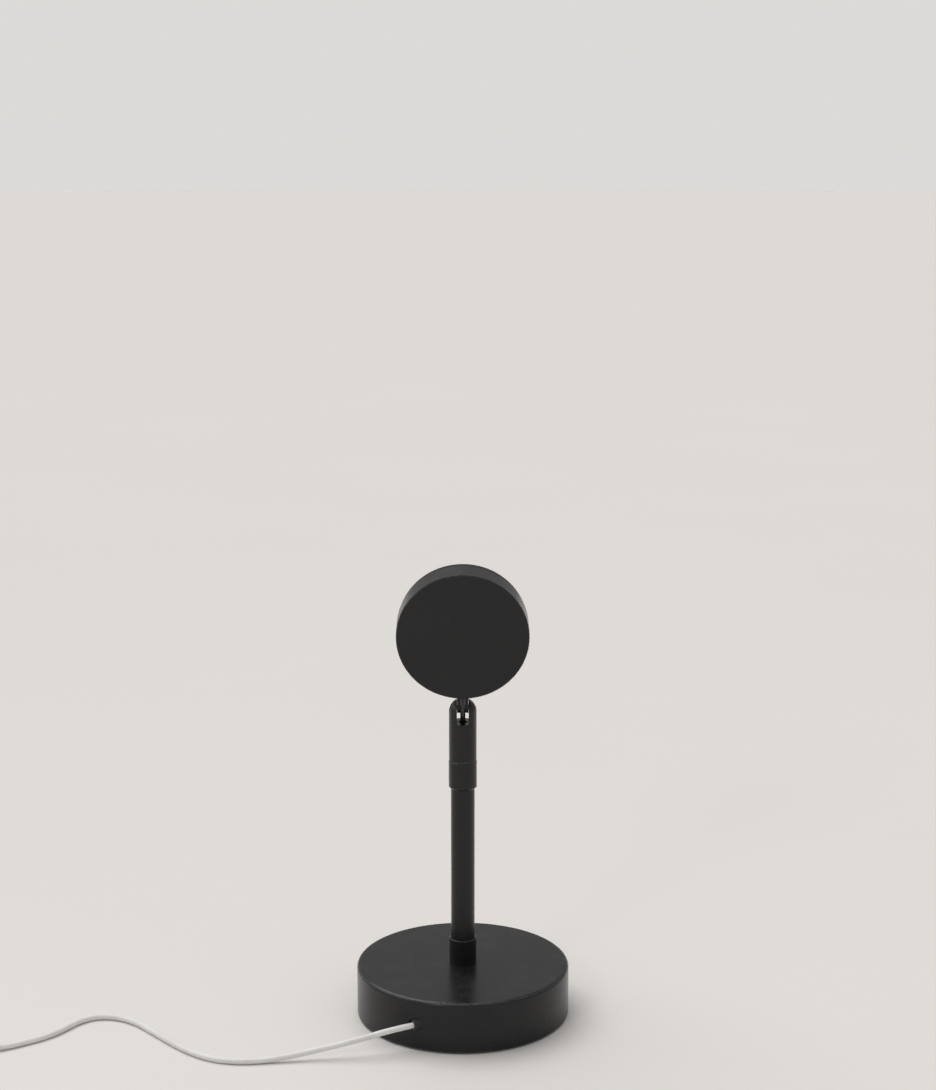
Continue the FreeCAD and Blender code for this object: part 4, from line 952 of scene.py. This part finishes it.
class LAMP_OT_plug_lead(bpy.types.Operator):
    """Lay the white lead from the switch through its coil to the plug"""

    bl_idname = "lamp.plug_lead"
    bl_label = "Lead to the Plug"

    def execute(self, context):
        lead = context.scene.lamp_lead
        way = heading(SWITCH_HEADING)
        leave = SWITCH_ENTRY + way * SWITCH_REACH
        count = round(COIL_TURNS * COIL_STEPS)
        coil = [coil_point(COIL_TURNS * i / count) for i in range(count + 1)]
        before = (coil[0] - coil[1]).normalized() * COIL_LEAD_IN
        after = SIDEWAYS * COIL_LEAD_OUT
        route = [leave - way * SWITCH_INSIDE, leave + way * SWITCH_RUN]
        route += [Vector(point) for point in LINK_ROUTE] + [coil[0] + before] + coil
        route += [coil[-1] + after] + [Vector(point) for point in TAIL_ROUTE] + [PLUG_ENTRY]
        piece = spline_object("plug_lead", [point * MM for point in route], lead.diameter / 2,
                              lead.smoothness)
        settle(piece, "white_vinyl", bpy.data.materials["White Jacket"],
               "cord_link", "cord_coil", "cord_tail")
        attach(piece, "base")
        return {"FINISHED"}


class LAMP_OT_switch(bpy.types.Operator):
    """Finish the in-line switch and the contacts, and wind the press spring"""

    bl_idname = "lamp.switch"
    bl_label = "Switch"

    def execute(self, context):
        colour = tuple(context.scene.lamp_finish.moulding)
        white = moulded("White Moulding", colour, 0.36, Subsurface_Weight=0.05,
                        Subsurface_Scale=0.0008)
        finish_nodes(white, "switch_button", "plug_insulator")
        finish_nodes(moulded("Switch Housing", colour, 0.38, seam=SWITCH_PARTING),
                     "switch_lower", "switch_upper")
        finish_nodes(bare_metal("Brass", (0.78, 0.56, 0.22), 0.3),
                     "switch_contacts", "plug_contacts")
        low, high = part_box("switch_spring")
        middle = (low + high) / 2
        foot = Vector((middle.x, middle.y, low.z))
        piece = self.spring(foot, high.z - low.z)
        settle(piece, "zinc_steel", bpy.data.materials["Zinc Fixings"], "switch_spring")
        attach(piece, "base")
        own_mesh(piece)
        return {"FINISHED"}

    def spring(self, foot, height):
        """The press spring, wound up from its foot to a height."""
        rise = (height - 2 * SPRING_WIRE) / SPRING_TURNS
        angles = [FULL_TURN * i / SPRING_STEPS for i in range(SPRING_TURNS * SPRING_STEPS + 1)]
        points = [foot + around(SPRING_RADIUS, angle, SPRING_WIRE + rise * angle / FULL_TURN)
                  for angle in angles]
        return smooth(as_mesh(spline_object("press_spring", points, SPRING_WIRE,
                                            SPRING_SMOOTHNESS)))


class LAMP_OT_plug(bpy.types.Operator):
    """Finish the plug"""

    bl_idname = "lamp.plug"
    bl_label = "Plug"

    def execute(self, context):
        colour = tuple(context.scene.lamp_finish.moulding)
        finish_nodes(moulded("Plug Grip", colour, 0.42, seam=PLUG_PARTING), "plug_grip")
        finish_nodes(bare_metal("Nickel", (0.72, 0.71, 0.68), 0.18, stretch=(1.0, 6.0, 1.0)),
                     "plug_shell")
        return {"FINISHED"}


class LAMP_OT_coil_tie(bpy.types.Operator):
    """Bend the twist tie round the coil"""

    bl_idname = "lamp.coil_tie"
    bl_label = "Coil Tie"

    def execute(self, context):
        bm = bmesh.new()
        self.band(bm)
        for start in (0.0, HALF_TURN):
            self.strand(bm, start)
        piece = smooth(mesh_object("twist_tie", bm))
        place = COIL_CENTRE * MM + heading(TIE_HEADING) * COIL_MIDDLE * MM
        turn = Matrix.Rotation(math.radians(TIE_HEADING), 4, "Z")
        piece.data.transform(Matrix.Translation(place) @ turn @ Matrix.Scale(MM, 4))
        colour = tuple(context.scene.lamp_finish.moulding)
        settle(piece, "white_vinyl", moulded("Tie Film", colour, 0.3, strength=0.4), "coil_tie")
        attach(piece, "base")
        return {"FINISHED"}

    def band(self, bm):
        """The flat band with its wire's ridge, round a rounded bundle, in millimetres."""
        beside, high, low = TIE_HALF - TIE_CORNER, TIE_TOP - TIE_CORNER, TIE_LOW + TIE_CORNER
        corners = ((beside, high), (-beside, high), (-beside, low), (beside, low))
        loop = []
        for corner, (side, level) in enumerate(corners):
            for step in range(TIE_CORNER_STEPS + 1):
                angle = QUARTER_TURN * (corner + step / TIE_CORNER_STEPS)
                out = Vector((math.cos(angle), 0.0, math.sin(angle)))
                inner = Vector((side, 0.0, level)) + out * TIE_CORNER
                loop.append([bm.verts.new(inner + out * thick + FORWARD * across)
                             for across, thick in TIE_SECTION])
        join_rings(bm, loop, closed=True)

    def strand(self, bm, start):
        """One of the two ends, twisted round the other and then splayed, in millimetres."""
        axis = Vector((1.0, 0.0, TWIST_SLOPE)).normalized()
        up = Vector((-TWIST_SLOPE, 0.0, 1.0)).normalized()
        angles = [FULL_TURN * i / STRAND_FACETS for i in range(STRAND_FACETS)]
        rings = []
        for step in range(STRAND_STEPS + 1):
            share = step / STRAND_STEPS
            turn = start + FULL_TURN * TWIST_TURNS * min(share, TWIST_SHARE)
            away = TWIST_APART + SPLAY * max(0.0, share - TWIST_SHARE) ** SPLAY_POWER
            out = up * math.cos(turn) + FORWARD * math.sin(turn)
            along = axis.cross(out)
            middle = TWIST_START + axis * (TWIST_LENGTH * share) + out * away
            rings.append([bm.verts.new(middle + out * (STRAND_THICK * math.cos(angle))
                                       + along * (STRAND_WIDE * math.sin(angle)))
                          for angle in angles])
        join_rings(bm, rings, closed=False)
        bm.faces.new(rings[0])
        bm.faces.new(rings[-1])


class LAMP_OT_stage(bpy.types.Operator):
    """Set up the table, the light and the camera"""

    bl_idname = "lamp.stage"
    bl_label = "Studio"

    def execute(self, context):
        studio = context.scene.lamp_studio
        self.table(studio)
        self.surround(context.scene, studio)
        self.overhead(studio)
        self.panel(studio)
        self.camera(context.scene, studio)
        return {"FINISHED"}

    def table(self, studio):
        """The pale table."""
        bm = bmesh.new()
        bmesh.ops.create_circle(bm, cap_ends=True, radius=TABLE_RADIUS, segments=TABLE_EDGES)
        floor = mesh_object("table", bm)
        material, tree, shader = new_material("Table", Roughness=0.9, Specular_IOR_Level=0.0)
        tone = noise(tree, own_place(tree), 3.0, detail=4.0)
        colour = tuple(studio.floor)
        feed(tree, shader["Base Color"], mixed(tree, tone, colour, shade(colour, 0.975)))
        floor.data.materials.append(material)

    def surround(self, scene, studio):
        """Even light; glossy surfaces see it dimmer ahead and brighter high on the left."""
        world = bpy.data.worlds.new("Surround")
        scene.world = world
        world.use_nodes = True
        tree = world.node_tree
        path = tree.nodes.new("ShaderNodeLightPath").outputs
        toward = add(tree, "ShaderNodeSeparateXYZ", Vector=own_direction(tree)).outputs
        dim = spread(tree, toward["Y"], -0.7, 0.9, to_low=SEEN_BEHIND, to_high=SEEN_AHEAD)
        left = spread(tree, toward["X"], -0.95, -0.55, to_low=1.0, to_high=0.0)
        high = times(tree, spread(tree, toward["Z"], 0.08, 0.25), left)
        mirrored = maths(tree, "ADD", dim, times(tree, high, SEEN_HIGH_LEFT))
        glossy = add(tree, "ShaderNodeMix", {"data_type": "FLOAT"})
        for index, value in ((0, path["Is Glossy Ray"]), (2, studio.surround), (3, mirrored)):
            feed(tree, glossy.inputs[index], value)
        light = add(tree, "ShaderNodeVectorMath", {"operation": "SCALE"}, Scale=glossy.outputs[0])
        feed(tree, light.inputs[0], SKY_COLOUR)
        direct = maths(tree, "MAXIMUM", path["Is Camera Ray"], path["Is Transmission Ray"])
        beyond = shade(studio.floor, studio.backdrop)
        colour = mixed(tree, direct, light.outputs[0], beyond)
        feed(tree, tree.nodes["Background"].inputs["Color"], colour)

    def overhead(self, studio):
        """The soft light overhead, from a little beyond the lamp and to the left."""
        data = bpy.data.lights.new("Key Light", "SUN")
        data.energy = studio.key
        data.angle = KEY_SIZE
        data.color = KEY_COLOUR
        lamp = bpy.data.objects.new("Key Light", data)
        lamp.rotation_euler = KEY_DIRECTION.to_track_quat("-Z", "Y").to_euler()
        bpy.context.scene.collection.objects.link(lamp)

    def panel(self, studio):
        """A square light panel beside the camera that faces the lamp."""
        data = bpy.data.lights.new("Fill Light", "AREA")
        data.size = FILL_SIZE
        data.energy = studio.fill
        lamp = bpy.data.objects.new("Fill Light", data)
        lamp.location = FILL_PLACE
        lamp.rotation_euler = (FILL_AIM - FILL_PLACE).to_track_quat("-Z", "Y").to_euler()
        bpy.context.scene.collection.objects.link(lamp)

    def camera(self, scene, studio):
        """The camera, behind the lamp and a little above it."""
        data = bpy.data.cameras.new("Camera")
        data.sensor_width = SENSOR_MM
        data.lens = studio.lens
        data.clip_start = NEAREST
        camera = bpy.data.objects.new("Camera", data)
        camera.location = (0.0, -studio.distance, studio.height)
        camera.rotation_euler = (QUARTER_TURN - studio.pitch, 0.0, -studio.yaw)
        scene.collection.objects.link(camera)
        scene.camera = camera
        scene.view_settings.view_transform = "Standard"


class LAMP_PT_panel(bpy.types.Panel):
    """Sizes, colours and steps of the lamp"""

    bl_idname = "LAMP_PT_panel"
    bl_label = "Projection Lamp"
    bl_space_type = "VIEW_3D"
    bl_region_type = "UI"
    bl_category = "Lamp"

    def draw(self, context):
        scene = context.scene
        for group in (scene.lamp_finish, scene.lamp_lead, scene.lamp_studio):
            box = self.layout.box()
            for name in group.__annotations__:
                box.prop(group, name)
        for step in STEPS:
            self.layout.operator(step.bl_idname)


SETTINGS = (LampFinish, LampLead, LampStudio)
STEPS = (
    LAMP_OT_effects, LAMP_OT_stage, LAMP_OT_supply_lead, LAMP_OT_coil_tie, LAMP_OT_plug_lead,
    LAMP_OT_base, LAMP_OT_pole, LAMP_OT_fork, LAMP_OT_head, LAMP_OT_optics, LAMP_OT_inner_leads,
    LAMP_OT_switch, LAMP_OT_plug,
)


def register():
    """Register the lamp's settings, steps and panel."""
    for item in (*SETTINGS, *STEPS, LAMP_PT_panel):
        bpy.utils.register_class(item)
    bpy.types.Scene.lamp_finish = bpy.props.PointerProperty(type=LampFinish)
    bpy.types.Scene.lamp_lead = bpy.props.PointerProperty(type=LampLead)
    bpy.types.Scene.lamp_studio = bpy.props.PointerProperty(type=LampStudio)


def unregister():
    """Take away what register added."""
    del bpy.types.Scene.lamp_finish
    del bpy.types.Scene.lamp_lead
    del bpy.types.Scene.lamp_studio
    for item in reversed((*SETTINGS, *STEPS, LAMP_PT_panel)):
        bpy.utils.unregister_class(item)


def main():
    """Make the lamp's looks."""
    register()
    for step in STEPS:
        area, name = step.bl_idname.split(".")
        getattr(getattr(bpy.ops, area), name)()


if __name__ == "__main__":
    main()
